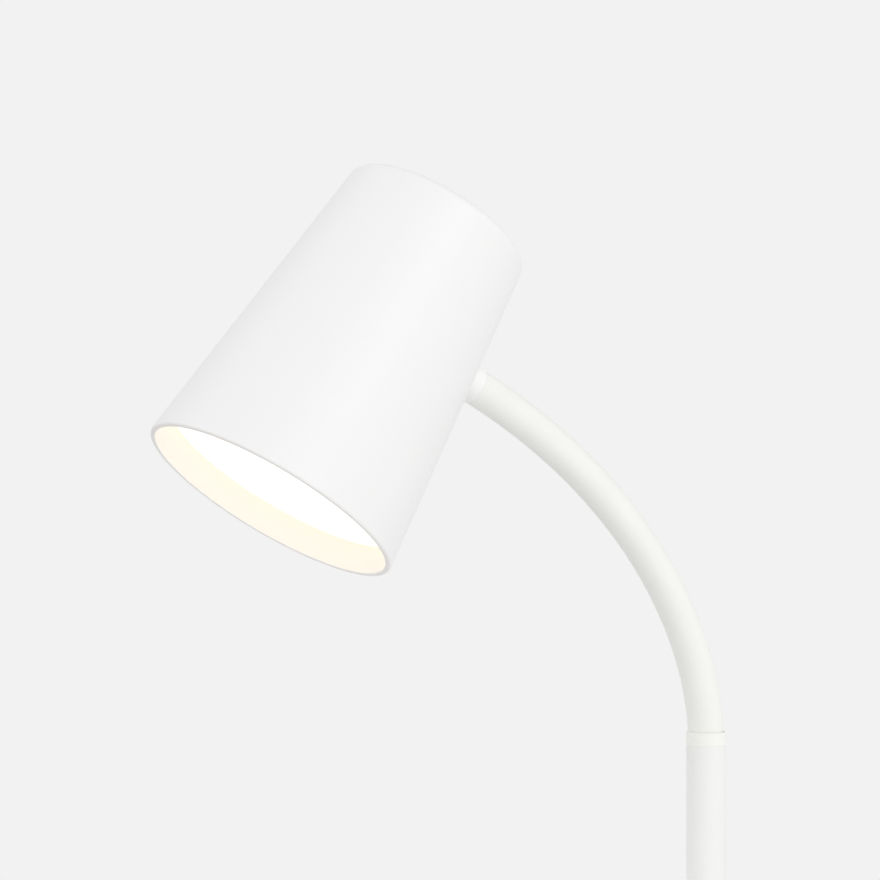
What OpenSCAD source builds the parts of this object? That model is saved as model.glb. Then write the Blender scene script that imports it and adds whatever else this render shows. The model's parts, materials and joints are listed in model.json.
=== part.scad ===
// Gooseneck desk lamp: a weighted round base, a straight post, a bendable neck and a cone shade.
// Millimetres, +Z up. The origin is the centre of the base's underside, on the post's axis.
// The neck bends in the XZ plane and carries the shade towards -X.

/* [Base] */
// Outer diameter of the base cover
base_d = 140; // [120:1:180]
// Clear height between the bottom plate and the cover's top
base_room = 15.1; // [15:0.1:20]
// Thickness of the cover's pressed sheet
cover_wall = 1.4; // [1:0.1:2]
// Radius of the cover's rounded top edge
cover_edge_r = 6; // [4:0.5:7]
// Height of the cover's lower edge above the table
cover_lift = 1; // [0.6:0.1:1.4]
// Thickness of the foam pad that the lamp stands on
pad_t = 1.5; // [1.5:0.1:3]
// Width of the bare ring of bottom plate around the foam pad
pad_margin = 2.4; // [1:0.1:5]
// Thickness of the bottom plate
plate_t = 2; // [1.8:0.1:3]
// Diameter of the bottom plate's middle hole
plate_hole_d = 24; // [22:1:30]
// Thickness of the cast weight
weight_t = 10; // [7:0.5:10]
// Distance from the cover's edge to the bottom plate's screws
plate_screw_inset = 18; // [16:1:22]
// Diameter of the weight's pillars for the bottom plate's screws
pillar_d = 10; // [8:0.5:12]

/* [Push switch] */
// Distance from the cover's edge to the push button's axis
switch_inset = 28; // [26:1:36]
// Diameter of the push button
button_d = 16; // [14:0.5:17]
// Height of the button's top above the bezel
button_rise = 2.2; // [2:0.1:3]
// Travel of the button
button_travel = 1.8; // [1:0.1:2]
// Width of the bezel's rim around the button
bezel_rim = 2.8; // [2:0.1:4]
// Height of the bezel's rim above the cover
bezel_h = 1.6; // [1:0.1:2]
// Wall of the bezel's threaded barrel
barrel_wall = 0.9; // [0.8:0.1:1.2]
// Length of the bezel's barrel below the cover's top
barrel_len = 7.6; // [7:0.1:8]
// Height of the switch body
switch_body_h = 5.9; // [5.5:0.1:6]
// Width of the switch body
switch_body_w = 17; // [15:0.5:18]
// Diameter of the spring's wire
spring_wire_d = 0.6; // [0.4:0.1:0.8]
// Mean diameter of the spring's coils
spring_d = 7.4; // [6.5:0.1:8]

/* [Cord outlet] */
// Diameter of the hole for the cord
gland_bore_d = 6.2; // [5:0.1:7]
// Diameter of the outlet's barrel
gland_barrel_d = 8.8; // [8.4:0.1:9.4]
// Diameter of the outlet's flange
gland_flange_d = 11; // [10.5:0.5:12]
// Height of the outlet's axis above the bottom plate
gland_h = 6.7; // [6.5:0.1:7.5]
// How far the flange stands out of the cover
gland_out = 1.6; // [1:0.1:3]
// How far the barrel reaches into the base
gland_in = 8.6; // [8:0.1:12]

/* [Post] */
// Outer diameter of the post tube
post_d = 12; // [11.8:0.1:14]
// Wall of the post tube
post_wall = 1; // [0.8:0.1:1]
// Length of the post tube
post_len = 204; // [150:1:320]
// Diameter of the ring at the foot of the post
foot_ring_d = 20; // [18:0.5:26]
// Height of the ring at the foot of the post
foot_ring_h = 2.5; // [2:0.1:5]
// Diameter of the hollow threaded nipple that clamps the post
nipple_d = 8; // [7:0.1:8.4]
// Diameter of the nipple's wire hole
nipple_bore_d = 4.8; // [4.4:0.1:5.2]
// Length of the threaded plug in the post's foot
plug_len = 12; // [8:1:20]
// Length of the neck anchor inside the post
anchor_len = 18; // [14:1:30]
// Height of the collar on top of the post
collar_h = 4; // [3:0.5:6]

/* [Neck] */
// Length of the neck's centre line, from the post to the shade
neck_len = 147.2; // [135:0.2:170]
// Radius of the neck's bend where it leaves the post
neck_bend_low = 71.2; // [66:0.2:100]
// Radius of the neck's bend where it meets the shade
neck_bend_high = 221; // [150:1:300]
// Outer diameter of the soft sleeve
sleeve_d = 10.8; // [10.6:0.1:11]
// Wall of the soft sleeve
sleeve_wall = 0.6; // [0.5:0.05:0.6]
// Outer diameter of the metal conduit
conduit_d = 8.8; // [8.4:0.1:8.8]
// Diameter of the conduit's wire hole
conduit_bore_d = 5.4; // [5:0.1:5.8]
// Spacing of the conduit's turns
turn_pitch = 2.4; // [2:0.1:3]
// Depth of the groove between two turns
turn_groove = 0.35; // [0.2:0.05:0.5]
// Radius of the rounded end about which each link of the conduit turns
knuckle_r = 5; // [4.8:0.1:5.4]
// Gap between the rounded ends of two links
knuckle_gap = 0.2; // [0.15:0.05:0.3]
// Diameter of each insulated wire
wire_d = 1.4; // [1:0.1:1.6]
// Distance between the two wires' middles
wire_gap = 1.8; // [1.7:0.1:2]

/* [Shade] */
// Outer diameter of the shade's mouth
mouth_d = 78; // [74:0.5:96]
// Diameter of the cone at the level of the shade's closed end
crown_d = 56.6; // [54:0.2:66]
// Length of the shade along its axis
shade_len = 98.4; // [92:0.2:130]
// Thickness of the shade's sheet
shade_wall = 1.2; // [0.8:0.1:1.4]
// Radius of the shade's rounded closed end
crown_edge_r = 3.2; // [2.6:0.1:10]
// Thickness of the folded hem at the mouth
hem_t = 1.5; // [1.4:0.1:2]
// Height of the folded hem
hem_h = 2.5; // [1.5:0.1:4]
// Distance along the shade's axis from the mouth to the neck
entry_h = 64.4; // [62:0.1:68]
// Angle between the neck's end and square to the shade's wall
entry_skew = 1.2; // [0:0.1:2]
// Diameter of the ferrule outside the shade
ferrule_d = 11.4; // [11.2:0.1:14]
// Length of the ferrule
ferrule_len = 5; // [4:0.1:6]
// Diameter of the threaded shank that passes through the shade
shank_d = 8; // [7.4:0.1:8.2]
// Length of the shank inside the shade's outer surface
shank_in = 12.5; // [12:0.1:14]

/* [Light unit] */
// Depth of the diffuser behind the mouth
diffuser_depth = 8.5; // [6:0.1:12]
// Thickness of the opal diffuser
diffuser_t = 2.2; // [1.5:0.1:3]
// Depth of the reflector behind the diffuser
reflector_depth = 16.3; // [14:0.1:18]
// Wall of the reflector
reflector_wall = 1.6; // [1.2:0.1:2]
// Diameter of the light source's board
board_d = 52; // [48:0.5:52]
// Thickness of the board
board_t = 1.6; // [1:0.1:2]
// Side of a light chip
chip_w = 3.5; // [2.8:0.1:4]
// Thickness of a light chip
chip_t = 0.7; // [0.5:0.1:1]
// Radius of the outer ring of light chips
chip_ring_r = 15; // [13:0.5:15]
// Radius of the inner ring of light chips
chip_core_r = 7; // [5:0.5:8]
// Thickness of the heat sink's disc
sink_t = 4; // [3:0.5:6]
// Height of the heat sink's fins
fin_h = 12; // [6:0.5:14]
// Thickness of a fin
fin_t = 1.6; // [1.2:0.1:2]
// Distance from the heat sink's middle to the first fin
fin_first = 10; // [9:0.5:12]
// Spacing of the fins
fin_pitch = 5.5; // [4.5:0.1:5.5]
// Thickness of the bracket's bar
bar_t = 2.5; // [2:0.1:3]
// Width of the bracket's bar
bar_w = 14; // [12:0.5:16]

/* [Clearances] */
// Running clearance around the push button, on the radius
button_slip = 0.2; // [0.1:0.05:0.3]
// Clearance of through holes, on the radius
hole_slip = 0.2; // [0.1:0.05:0.3]
// Clearance between a part and the wall that it is set in
set_slip = 0.25; // [0.1:0.05:0.3]

/* [Hidden] */
$fn = 96;
link_count = 11;
segments = link_count + 2;

base_r = base_d / 2;
plate_top = pad_t + plate_t;
cover_under = plate_top + base_room;
base_h = cover_under + cover_wall;
plate_r = base_r - cover_wall - hole_slip;
weight_r = base_r - cover_edge_r - 0.5;
weight_z = cover_under - weight_t;
plate_screw_count = 4;
plate_screw_r = base_r - plate_screw_inset;
m3_r = 1.5;
m3_head_r = 2.8;
m3_head_h = 1.6;
plate_screw_len = 12;

nipple_r = nipple_d / 2;
washer_t = 1.2;
nut_t = 3.5;
nut_flats = nipple_d + 5;
nipple_z = weight_z - washer_t - nut_t - 0.2;

post_r = post_d / 2;
tube_bore_r = post_r - post_wall;
foot_ring_floor = 1;
post_z = base_h + foot_ring_floor;
post_top = post_z + post_len;
set_screw_drop = anchor_len / 2;

switch_offset = base_r - switch_inset;
button_r = button_d / 2;
barrel_in_r = button_r + button_slip;
barrel_r = barrel_in_r + barrel_wall;
barrel_z = base_h - barrel_len;
switch_body_z = barrel_z - switch_body_h;
terminal_h = 2.3;
terminal_gap = 7;
button_wall = 1.3;
button_top = base_h + bezel_h + button_rise;
button_roof = 1.6;
button_skirt = 3.6;
stem_r = 2;
stem_z = barrel_z - 3;
switch_pocket_r = barrel_r + 6;
ring_nut_t = 2.2;

gland_z = plate_top + gland_h;
gland_nut_t = 3;
block_inset = 35;
block_x = base_r - block_inset;
block_l = 16;
block_w = 20;
block_h = 9;
block_screw_r = 2;
pocket_w = 26;
pocket_x = block_x - 2;

wire_r = wire_d / 2;
wire_y = wire_gap / 2;

sleeve_r = sleeve_d / 2;
sleeve_bore_r = sleeve_r - sleeve_wall;
conduit_r = conduit_d / 2;
conduit_bore_r = conduit_bore_d / 2;
neck_lead = 8;
neck_tail = 14.2;
link_pitch = (neck_len - neck_lead - neck_tail) / link_count;

mouth_r = mouth_d / 2;
crown_r = crown_d / 2;
cone = atan((mouth_r - crown_r) / shade_len);
sleeve_end_gap = 0.25;
shank_r = shank_d / 2;
shank_nut_flats = shank_d + 5;
pad_in = 5.5;
spot_face_r = 8.2;
spot_face_depth = 0.3;
washer_seat = pad_in - spot_face_depth;

diffuser_top = diffuser_depth + diffuser_t;
sink_z = diffuser_top + reflector_depth;
sink_top = sink_z + sink_t;
board_face = sink_z - board_t;
flange_t = 1.5;
board_screw_r = 1.25;
board_screw_len = board_t + sink_t - 1;
reflector_screw_len = flange_t + board_screw_len;
rim_screw_ring = board_d / 2 - 4;
foot_inner_x = 12;
foot_screw_x = 17;
foot_screw_y = 4;
grommet_r = 3.2;

LINKS = [for (i = [1 : link_count]) str("neck_link_", i < 10 ? "0" : "", i)];

// ---- the neck's centre line: arcs whose radius grows evenly from the post to the shade ----

// Radius of arc i.
function bend_r(i) = neck_bend_low + (neck_bend_high - neck_bend_low) * i / (segments - 1);

// Length of arc i.
function arc_len(i) = i == 0 ? neck_lead : i == segments - 1 ? neck_tail : link_pitch;

// Point [x, z] and lean from vertical, ds along an arc of radius r that starts at j.
function along_arc(j, r, ds) =
    let (a = j[2] + ds / r * 180 / PI)
    [j[0] - r * (cos(j[2]) - cos(a)), j[1] + r * (sin(a) - sin(j[2])), a];

// Start of arc i: its x, z and lean. Arc 0 starts on top of the post.
function arc_start(i) = i == 0 ? [0, post_top, 0]
    : along_arc(arc_start(i - 1), bend_r(i - 1), arc_len(i - 1));

STARTS = [for (i = [0 : segments]) arc_start(i)];

// The same for a point ds past the start of arc i.
function along(i, ds) = along_arc(STARTS[i], bend_r(i), ds);

entry = STARTS[segments];
shade_tilt = 90 - entry[2] + cone + entry_skew;
entry_r = mouth_r - entry_h * tan(cone);
mouth = [entry[0] - entry_r * cos(shade_tilt) - entry_h * sin(shade_tilt), 0,
         entry[1] + entry_r * sin(shade_tilt) - entry_h * cos(shade_tilt)];

// Stands its children on the start of arc i: +Z along the neck, X in the plane of its bend.
module at_start(i) {
    translate([STARTS[i][0], 0, STARTS[i][1]]) rotate([0, -STARTS[i][2], 0]) children();
}

// Stands its children where the neck meets the shade, +Z into the shade.
module at_entry() {
    at_start(segments) children();
}

// Stands its children at the middle of the shade's mouth, +Z along the shade's axis, +X at the neck.
module in_shade() {
    translate(mouth) rotate([0, shade_tilt, 0]) children();
}

// ---- shared shapes ----

// A flat ring or tube.
module ring(r, bore, h) {
    difference() {
        cylinder(r = r, h = h);
        translate([0, 0, -1]) cylinder(r = bore, h = h + 2);
    }
}

// A hexagon nut.
module hex_nut(flats, bore, h) {
    difference() {
        cylinder(r = flats / 2 / cos(30), h = h, $fn = 6);
        translate([0, 0, -1]) cylinder(r = bore, h = h + 2);
    }
}

// Radius of a pan head on a shank of radius r.
function pan_head_r(r) = 1.85 * r;

// A pan-head screw with its head above z = 0 and its shank below.
module pan_screw(r, len) {
    head_h = 1.3 * r;
    difference() {
        union() {
            cylinder(r1 = pan_head_r(r), r2 = pan_head_r(r) - 0.25 * r, h = head_h);
            translate([0, 0, -len]) cylinder(r = r, h = len + 0.1);
        }
        translate([0, 0, head_h - 0.6 * r]) cylinder(r = 0.8 * r, h = r, $fn = 6);
    }
}

// A circle of points about p in the plane of the unit vectors u and v.
function hoop(p, u, v, r, sides) =
    [for (s = [0 : sides - 1]) let (a = s * 360 / sides) p + r * (cos(a) * u + sin(a) * v)];

// Triangles between a run of hoops, the first of whose points is number start.
function skin(start, hoops, sides, outward) =
    [for (k = [0 : hoops - 2], s = [0 : sides - 1])
        let (a = start + k * sides + s, b = start + k * sides + (s + 1) % sides, c = a + sides, d = b + sides)
        each (outward ? [[a, d, b], [a, c, d]] : [[a, b, d], [a, d, c]])];

// A solid rod through a list of hoops.
module hoop_rod(hoops) {
    n = len(hoops);
    sides = len(hoops[0]);
    first = [for (s = [0 : sides - 1]) s];
    last = [for (s = [sides - 1 : -1 : 0]) (n - 1) * sides + s];
    polyhedron(points = [for (h = hoops) each h], faces = concat([first, last], skin(0, n, sides, true)));
}

// A hollow tube between two runs of as many hoops.
module hoop_tube(outer, inner) {
    n = len(outer);
    sides = len(outer[0]);
    in = n * sides;
    end = (n - 1) * sides;
    rims = [for (s = [0 : sides - 1]) let (t = (s + 1) % sides)
        each [[s, t, in + t, in + s], [end + t, end + s, in + end + s, in + end + t]]];
    polyhedron(points = [for (h = concat(outer, inner)) each h],
        faces = concat(skin(0, n, sides, true), skin(in, n, sides, false), rims));
}

function unit(v) = v / norm(v);

// Rounds a path's corners, n times over.
function rounded(p, n = 2) = n == 0 ? p : rounded(concat([p[0]],
    [for (i = [1 : len(p) - 1]) each [p[i - 1] * 0.75 + p[i] * 0.25, p[i - 1] * 0.25 + p[i] * 0.75]],
    [p[len(p) - 1]]), n - 1);

// A wire along a rounded path that nowhere runs along the direction ref.
module lead(path, ref) {
    p = rounded(path);
    last = len(p) - 1;
    hoop_rod([for (i = [0 : last])
        let (t = unit(p[min(i + 1, last)] - p[max(i - 1, 0)]), u = unit(cross(ref, t)))
        hoop(p[i], u, cross(t, u), wire_r, 8)]);
}

// Half section of a disc from z0 to z1 whose top edge is rounded to radius e.
module domed_section(r, z0, z1, e) {
    translate([0, z0]) square([r, z1 - e - z0]);
    translate([0, z0]) square([r - e, z1 - z0]);
    translate([r - e, z1 - e]) circle(r = e);
}

// The base cover's outer shape, filled.
module cover_form() {
    rotate_extrude() domed_section(base_r, cover_lift, base_h, cover_edge_r);
}

// The hollow under the base cover.
module cover_hollow() {
    rotate_extrude() domed_section(base_r - cover_wall, 0, cover_under, cover_edge_r - cover_wall);
}

module at_switch() {
    translate([-switch_offset, 0, 0]) children();
}

module at_plate_screws() {
    for (i = [0 : plate_screw_count - 1])
        rotate([0, 0, (i + 0.5) * 360 / plate_screw_count]) translate([plate_screw_r, 0, 0]) children();
}

// ---- base ----

module foot_pad() {
    color("dimgray") cylinder(r = plate_r - pad_margin, h = pad_t);
}

module base_plate() {
    color("silver") difference() {
        translate([0, 0, pad_t]) cylinder(r = plate_r, h = plate_t);
        translate([0, 0, pad_t - 1]) cylinder(d = plate_hole_d, h = plate_t + 2);
        at_plate_screws() plate_screw_form();
    }
}

// One countersunk screw, its head flush with the bottom plate's underside.
module plate_screw_form() {
    translate([0, 0, pad_t]) {
        cylinder(r1 = m3_head_r, r2 = m3_r, h = m3_head_h);
        cylinder(r = m3_r, h = plate_screw_len);
    }
}

module plate_screws() {
    color("gray") at_plate_screws() difference() {
        plate_screw_form();
        translate([0, 0, pad_t - 0.1]) cylinder(r = 1, h = 1.1, $fn = 6);
    }
}

module base_weight() {
    color("dimgray") difference() {
        union() {
            translate([0, 0, weight_z]) cylinder(r = weight_r, h = weight_t);
            at_plate_screws() translate([0, 0, plate_top])
                cylinder(d = pillar_d, h = weight_z - plate_top + 1);
        }
        translate([0, 0, weight_z - 1]) cylinder(r = nipple_r + hole_slip, h = weight_t + 2);
        at_switch() translate([0, 0, weight_z - 1]) cylinder(r = switch_pocket_r, h = weight_t + 2);
        translate([pocket_x, -pocket_w / 2, weight_z - 1]) cube([base_r, pocket_w, weight_t + 2]);
        at_plate_screws() translate([0, 0, plate_top - 1]) cylinder(r = m3_r, h = plate_screw_len + 1);
    }
}

module base_cover() {
    color("white") difference() {
        cover_form();
        cover_hollow();
        translate([0, 0, cover_under - 1]) cylinder(r = nipple_r + hole_slip, h = cover_wall + 2);
        at_switch() translate([0, 0, cover_under - 1]) cylinder(r = barrel_r + hole_slip, h = cover_wall + 2);
        translate([base_r - 2 * cover_edge_r, 0, gland_z]) rotate([0, 90, 0])
            cylinder(d = gland_barrel_d, h = 3 * cover_edge_r);
    }
}

// ---- post ----

module foot_ring() {
    chamfer = 0.8;
    r = foot_ring_d / 2;
    color("white") translate([0, 0, base_h]) rotate_extrude() polygon([
        [nipple_r + hole_slip, 0], [r, 0], [r, foot_ring_h - chamfer], [r - chamfer, foot_ring_h],
        [post_r, foot_ring_h], [post_r, foot_ring_floor], [nipple_r + hole_slip, foot_ring_floor]]);
}

module post_nipple() {
    color("goldenrod") translate([0, 0, nipple_z])
        ring(nipple_r, nipple_bore_d / 2, post_z + plug_len - 1 - nipple_z);
}

module nipple_washer() {
    color("silver") translate([0, 0, weight_z - washer_t])
        ring(nipple_r + 5, nipple_r + hole_slip, washer_t);
}

module nipple_nut() {
    color("silver") translate([0, 0, weight_z - washer_t - nut_t]) hex_nut(nut_flats, nipple_r, nut_t);
}

module post_plug() {
    color("silver") translate([0, 0, post_z]) ring(tube_bore_r, nipple_r, plug_len);
}

module post_tube() {
    color("white") difference() {
        translate([0, 0, post_z]) ring(post_r, tube_bore_r, post_len);
        set_screw_form(post_r);
    }
}

module post_collar() {
    lip = 0.25;
    bore = sleeve_r + set_slip;
    color("ivory") translate([0, 0, post_top]) rotate_extrude() polygon([
        [bore, 0], [post_r, 0], [post_r, collar_h - lip], [post_r - lip / 2, collar_h], [bore, collar_h]]);
}

// The set screw's round body behind the post, out to radius r.
module set_screw_form(r) {
    translate([conduit_bore_r + 0.5, 0, post_top - set_screw_drop]) rotate([0, 90, 0])
        cylinder(r = m3_r, h = r - conduit_bore_r - 0.5);
}

module anchor_set_screw() {
    color("gray") difference() {
        set_screw_form(post_r - 0.2);
        translate([post_r - 1.4, 0, post_top - set_screw_drop]) rotate([0, 90, 0])
            cylinder(r = 0.85, h = 2, $fn = 6);
    }
}

// ---- push switch ----

module switch_bezel() {
    rim_edge = 0.5;
    rim_r = barrel_in_r + bezel_rim;
    color("white") at_switch() rotate_extrude() polygon([
        [barrel_in_r, barrel_z], [barrel_r, barrel_z], [barrel_r, base_h], [rim_r, base_h],
        [rim_r, base_h + bezel_h - rim_edge], [rim_r - rim_edge, base_h + bezel_h],
        [barrel_in_r, base_h + bezel_h]]);
}

module switch_ring_nut() {
    color("silver") at_switch() translate([0, 0, cover_under - ring_nut_t])
        hex_nut(2 * barrel_r + 4, barrel_r, ring_nut_t);
}

module switch_body() {
    color("black") at_switch() difference() {
        translate([-switch_body_w / 2, -switch_body_w / 2, switch_body_z])
            cube([switch_body_w, switch_body_w, switch_body_h]);
        translate([0, 0, stem_z - button_travel - 0.6])
            cylinder(r = stem_r + button_slip, h = switch_body_h);
    }
}

module switch_terminals() {
    tab_w = 4.8;
    tab_t = 0.8;
    color("goldenrod") at_switch() for (y = [-terminal_gap / 2, terminal_gap / 2])
        translate([-tab_w / 2, y - tab_t / 2, switch_body_z - terminal_h]) cube([tab_w, tab_t, terminal_h]);
}

module switch_spring() {
    turns = 5;
    per_turn = 16;
    w = spring_wire_d / 2;
    z0 = barrel_z + w + 0.05;
    rise = button_top - button_roof - barrel_z - 2 * w - 0.1;
    color("silver") at_switch() hoop_rod([for (k = [0 : turns * per_turn])
        let (a = k * 360 / per_turn, u = [cos(a), sin(a), 0])
        hoop(spring_d / 2 * u + [0, 0, z0 + rise * k / turns / per_turn], u, [0, 0, -1], w, 6)]);
}

module switch_button() {
    edge = 0.6;
    skirt_z = base_h - button_skirt;
    color("white") at_switch() rotate_extrude() polygon([
        [0, stem_z], [stem_r, stem_z], [stem_r, button_top - button_roof],
        [button_r - button_wall, button_top - button_roof], [button_r - button_wall, skirt_z],
        [button_r, skirt_z], [button_r, button_top - edge], [button_r - edge, button_top], [0, button_top]]);
}

// ---- cord outlet and wiring ----

module cord_gland() {
    color("white") difference() {
        union() {
            translate([base_r - gland_in, 0, gland_z]) rotate([0, 90, 0])
                cylinder(d = gland_barrel_d, h = gland_in + 0.1);
            difference() {
                translate([base_r - 2, 0, gland_z]) rotate([0, 90, 0])
                    cylinder(d = gland_flange_d, h = 2 + gland_out);
                cover_form();
            }
        }
        translate([base_r - gland_in - 1, 0, gland_z]) rotate([0, 90, 0])
            cylinder(d = gland_bore_d, h = gland_in + gland_out + 2);
    }
}

module gland_nut() {
    color("white") intersection() {
        translate([base_r - cover_wall - gland_nut_t, 0, gland_z]) rotate([0, 90, 0])
            hex_nut(gland_barrel_d + 2.4, gland_barrel_d / 2, gland_nut_t);
        cover_hollow();
    }
}

module terminal_block() {
    color("whitesmoke") difference() {
        translate([block_x, -block_w / 2, plate_top]) cube([block_l, block_w, block_h]);
        at_block_screws() translate([0, 0, -3]) cylinder(r = block_screw_r, h = 4);
    }
}

module at_block_screws() {
    for (x = [0.25, 0.75], y = [-0.25, 0.25])
        translate([block_x + x * block_l, y * block_w, plate_top + block_h]) children();
}

module terminal_screws() {
    slot = 0.8;
    color("silver") at_block_screws() difference() {
        translate([0, 0, -3]) cylinder(r = block_screw_r, h = 2.4);
        translate([-block_screw_r - 1, -slot / 2, -1.4]) cube([2 * block_screw_r + 2, slot, 1]);
    }
}

module base_wires() {
    run_z = plate_top + 2.1;
    dip_z = nipple_z - 1;
    dip_x = plate_hole_d / 2 - 2.8;
    turn_x = plate_hole_d / 2 - 0.8;
    far_y = plate_hole_d / 2;
    tab_x = 2 - switch_offset;
    tab_z = switch_body_z - terminal_h + wire_r + 0.1;
    color("saddlebrown") {
        // terminal block to post
        lead([[block_x, 1.2, run_z], [turn_x, 1.2, run_z], [dip_x, 1.2, dip_z], [wire_r, wire_y, dip_z],
              [0, wire_y, dip_z + wire_r], [0, wire_y, nipple_z]], [0, 1, 0]);
        // switch to post
        lead([[tab_x + 1, -terminal_gap / 2 + 1.2, tab_z], [tab_x + 6, -1.8, run_z], [-turn_x, -1.2, run_z],
              [-dip_x, -1.2, dip_z], [-wire_r, -wire_y, dip_z], [0, -wire_y, dip_z + wire_r],
              [0, -wire_y, nipple_z]], [0, 1, 0]);
        // terminal block to switch
        lead([[block_x, 5, run_z], [block_x - 4, 5, run_z], [turn_x, far_y, run_z], [-turn_x, far_y, run_z],
              [tab_x + 1, terminal_gap / 2 + 1.2, tab_z]], [0, 0, 1]);
    }
}

module post_wires() {
    color("saddlebrown") for (y = [-wire_y, wire_y])
        translate([0, y, nipple_z]) cylinder(r = wire_r, h = post_top - nipple_z, $fn = 32);
}

// ---- neck ----

// A cylinder of radius r on the axis of hinge i. Odd hinges bend the neck, even ones lean it sideways.
module knuckle(i, r) {
    wide = 4 * conduit_d;
    at_start(i) rotate(i % 2 == 1 ? [90, 0, 0] : [0, 90, 0]) cylinder(r = r, h = wide, center = true);
}

// A straight length of wound conduit from a to b on the centre line, where its bend has radius r.
// It lies halfway between the bend's chord and its crown, to stay in the middle of the sleeve.
module wound_conduit(a, b, r) {
    lean = atan2(a[0] - b[0], b[1] - a[1]);
    span = norm([b[0] - a[0], b[1] - a[1]]);
    rise = span * span / (8 * r);
    first = 2.2;
    groove_w = 0.5;
    count = floor((span - first - knuckle_r - 1.5) / turn_pitch) + 1;
    grooves = [for (k = [0 : count - 1]) let (z = first + k * turn_pitch) each [
        [conduit_r, z], [conduit_r - turn_groove, z + 0.1],
        [conduit_r - turn_groove, z + groove_w - 0.1], [conduit_r, z + groove_w]]];
    translate([a[0], 0, a[1]]) rotate([0, -lean, 0]) translate([rise / 2, 0, 0]) rotate_extrude()
        polygon(concat([[conduit_bore_r, 0], [conduit_r, 0]], grooves,
                       [[conduit_r, span], [conduit_bore_r, span]]));
}

// Conduit from hinge i to hinge i + 1: hollow at its foot, rounded at its head.
module conduit(i) {
    foot_ds = i == 0 ? 0.3 : 1.5;
    wide = 4 * conduit_d;
    difference() {
        wound_conduit(along(i, foot_ds), along(i + 1, knuckle_r + 0.5), bend_r(i));
        if (i > 0) knuckle(i, knuckle_r + knuckle_gap);
        difference() {
            at_start(i + 1) translate([-wide / 2, -wide / 2, 0]) cube([wide, wide, wide]);
            knuckle(i + 1, knuckle_r);
        }
    }
}

module neck_anchor() {
    color("silver") difference() {
        union() {
            translate([0, 0, post_top - anchor_len]) ring(tube_bore_r, conduit_bore_r, anchor_len);
            conduit(0);
            translate([0, 0, post_top]) ring(conduit_r - 0.2, conduit_bore_r + 0.2, 1);
        }
        set_screw_form(post_r);
    }
}

module neck_link(i) {
    color("silver") conduit(i);
}

// Hoops along the neck up to ds past the start of its last arc, y to the side of its middle.
function neck_hoops(ds, y, r, sides) =
    let (steps = 2, last = segments - 1,
         at = concat([for (i = [0 : last - 1], k = [0 : steps - 1]) along(i, arc_len(i) * k / steps)],
                     [for (k = [0 : steps]) along(last, ds * k / steps)]))
    [for (j = at) hoop([j[0], y, j[1]], [cos(j[2]), 0, sin(j[2])], [0, 1, 0], r, sides)];

module neck_sleeve() {
    sides = 24;
    end = neck_tail - ferrule_len - sleeve_end_gap;
    color("white") hoop_tube(neck_hoops(end, 0, sleeve_r, sides), neck_hoops(end, 0, sleeve_bore_r, sides));
}

module neck_wires() {
    color("saddlebrown") for (y = [-wire_y, wire_y]) hoop_rod(neck_hoops(neck_tail, y, wire_r, 8));
}

// ---- head: neck end ----

module neck_tip() {
    last = segments - 1;
    wide = 4 * conduit_d;
    color("silver") difference() {
        union() {
            difference() {
                wound_conduit(along(last, 1.5), along(last, neck_tail - ferrule_len + 1), bend_r(last));
                knuckle(last, knuckle_r + knuckle_gap);
                at_entry() translate([-wide / 2, -wide / 2, -ferrule_len]) cube([wide, wide, wide]);
            }
            at_entry() translate([0, 0, -ferrule_len - 1])
                ring(shank_r, conduit_bore_r, ferrule_len + 1 + shank_in);
        }
        at_entry() translate([0, 0, -ferrule_len - 2])
            cylinder(r = conduit_bore_r, h = ferrule_len + 4 + shank_in);
    }
}

module tip_ferrule() {
    edge = 0.3;
    r = ferrule_d / 2;
    color("white") difference() {
        at_entry() rotate_extrude() polygon([
            [shank_r, 1], [r, 1], [r, -ferrule_len + edge],
            [r - edge, -ferrule_len], [shank_r, -ferrule_len]]);
        in_shade() shade_cone(0);
    }
}

// ---- head: shade ----

// Distance from the shade's axis to a line inset from its outer surface, at height z.
function wall_x(z, inset) = mouth_r - z * tan(cone) - inset / cos(cone);

// The rounded edge of the closed end, inset from its outer surface, from the side to the top.
function crown_edge(inset) =
    let (e = crown_edge_r - inset, z = shade_len - crown_edge_r, x = wall_x(z, crown_edge_r), steps = 12)
    [for (k = [0 : steps]) let (a = cone + (90 - cone) * k / steps) [x + e * cos(a), z + e * sin(a)]];

// The shade's filled cone, its surface moved inwards by inset, open-ended below the mouth.
module shade_cone(inset) {
    skirt = 5;
    rotate_extrude() polygon(concat([[0, -skirt], [wall_x(-skirt, inset), -skirt]], crown_edge(inset),
                                    [[0, shade_len - inset]]));
}

// The spun sheet, with its edge folded inwards at the mouth.
module shade_shell() {
    fold = hem_t - shade_wall;
    inner = crown_edge(shade_wall);
    last = len(inner) - 1;
    color("white") difference() {
        in_shade() rotate_extrude() polygon(concat(
            [[mouth_r, 0]], crown_edge(0), [[0, shade_len], [0, shade_len - shade_wall]],
            [for (k = [last : -1 : 0]) inner[k]],
            [[wall_x(hem_h, shade_wall), hem_h], [wall_x(hem_h - fold, hem_t), hem_h - fold],
             [wall_x(0, hem_t), 0]]));
        at_entry() translate([0, 0, -2]) cylinder(r = shank_r + hole_slip, h = 8);
    }
}

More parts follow.
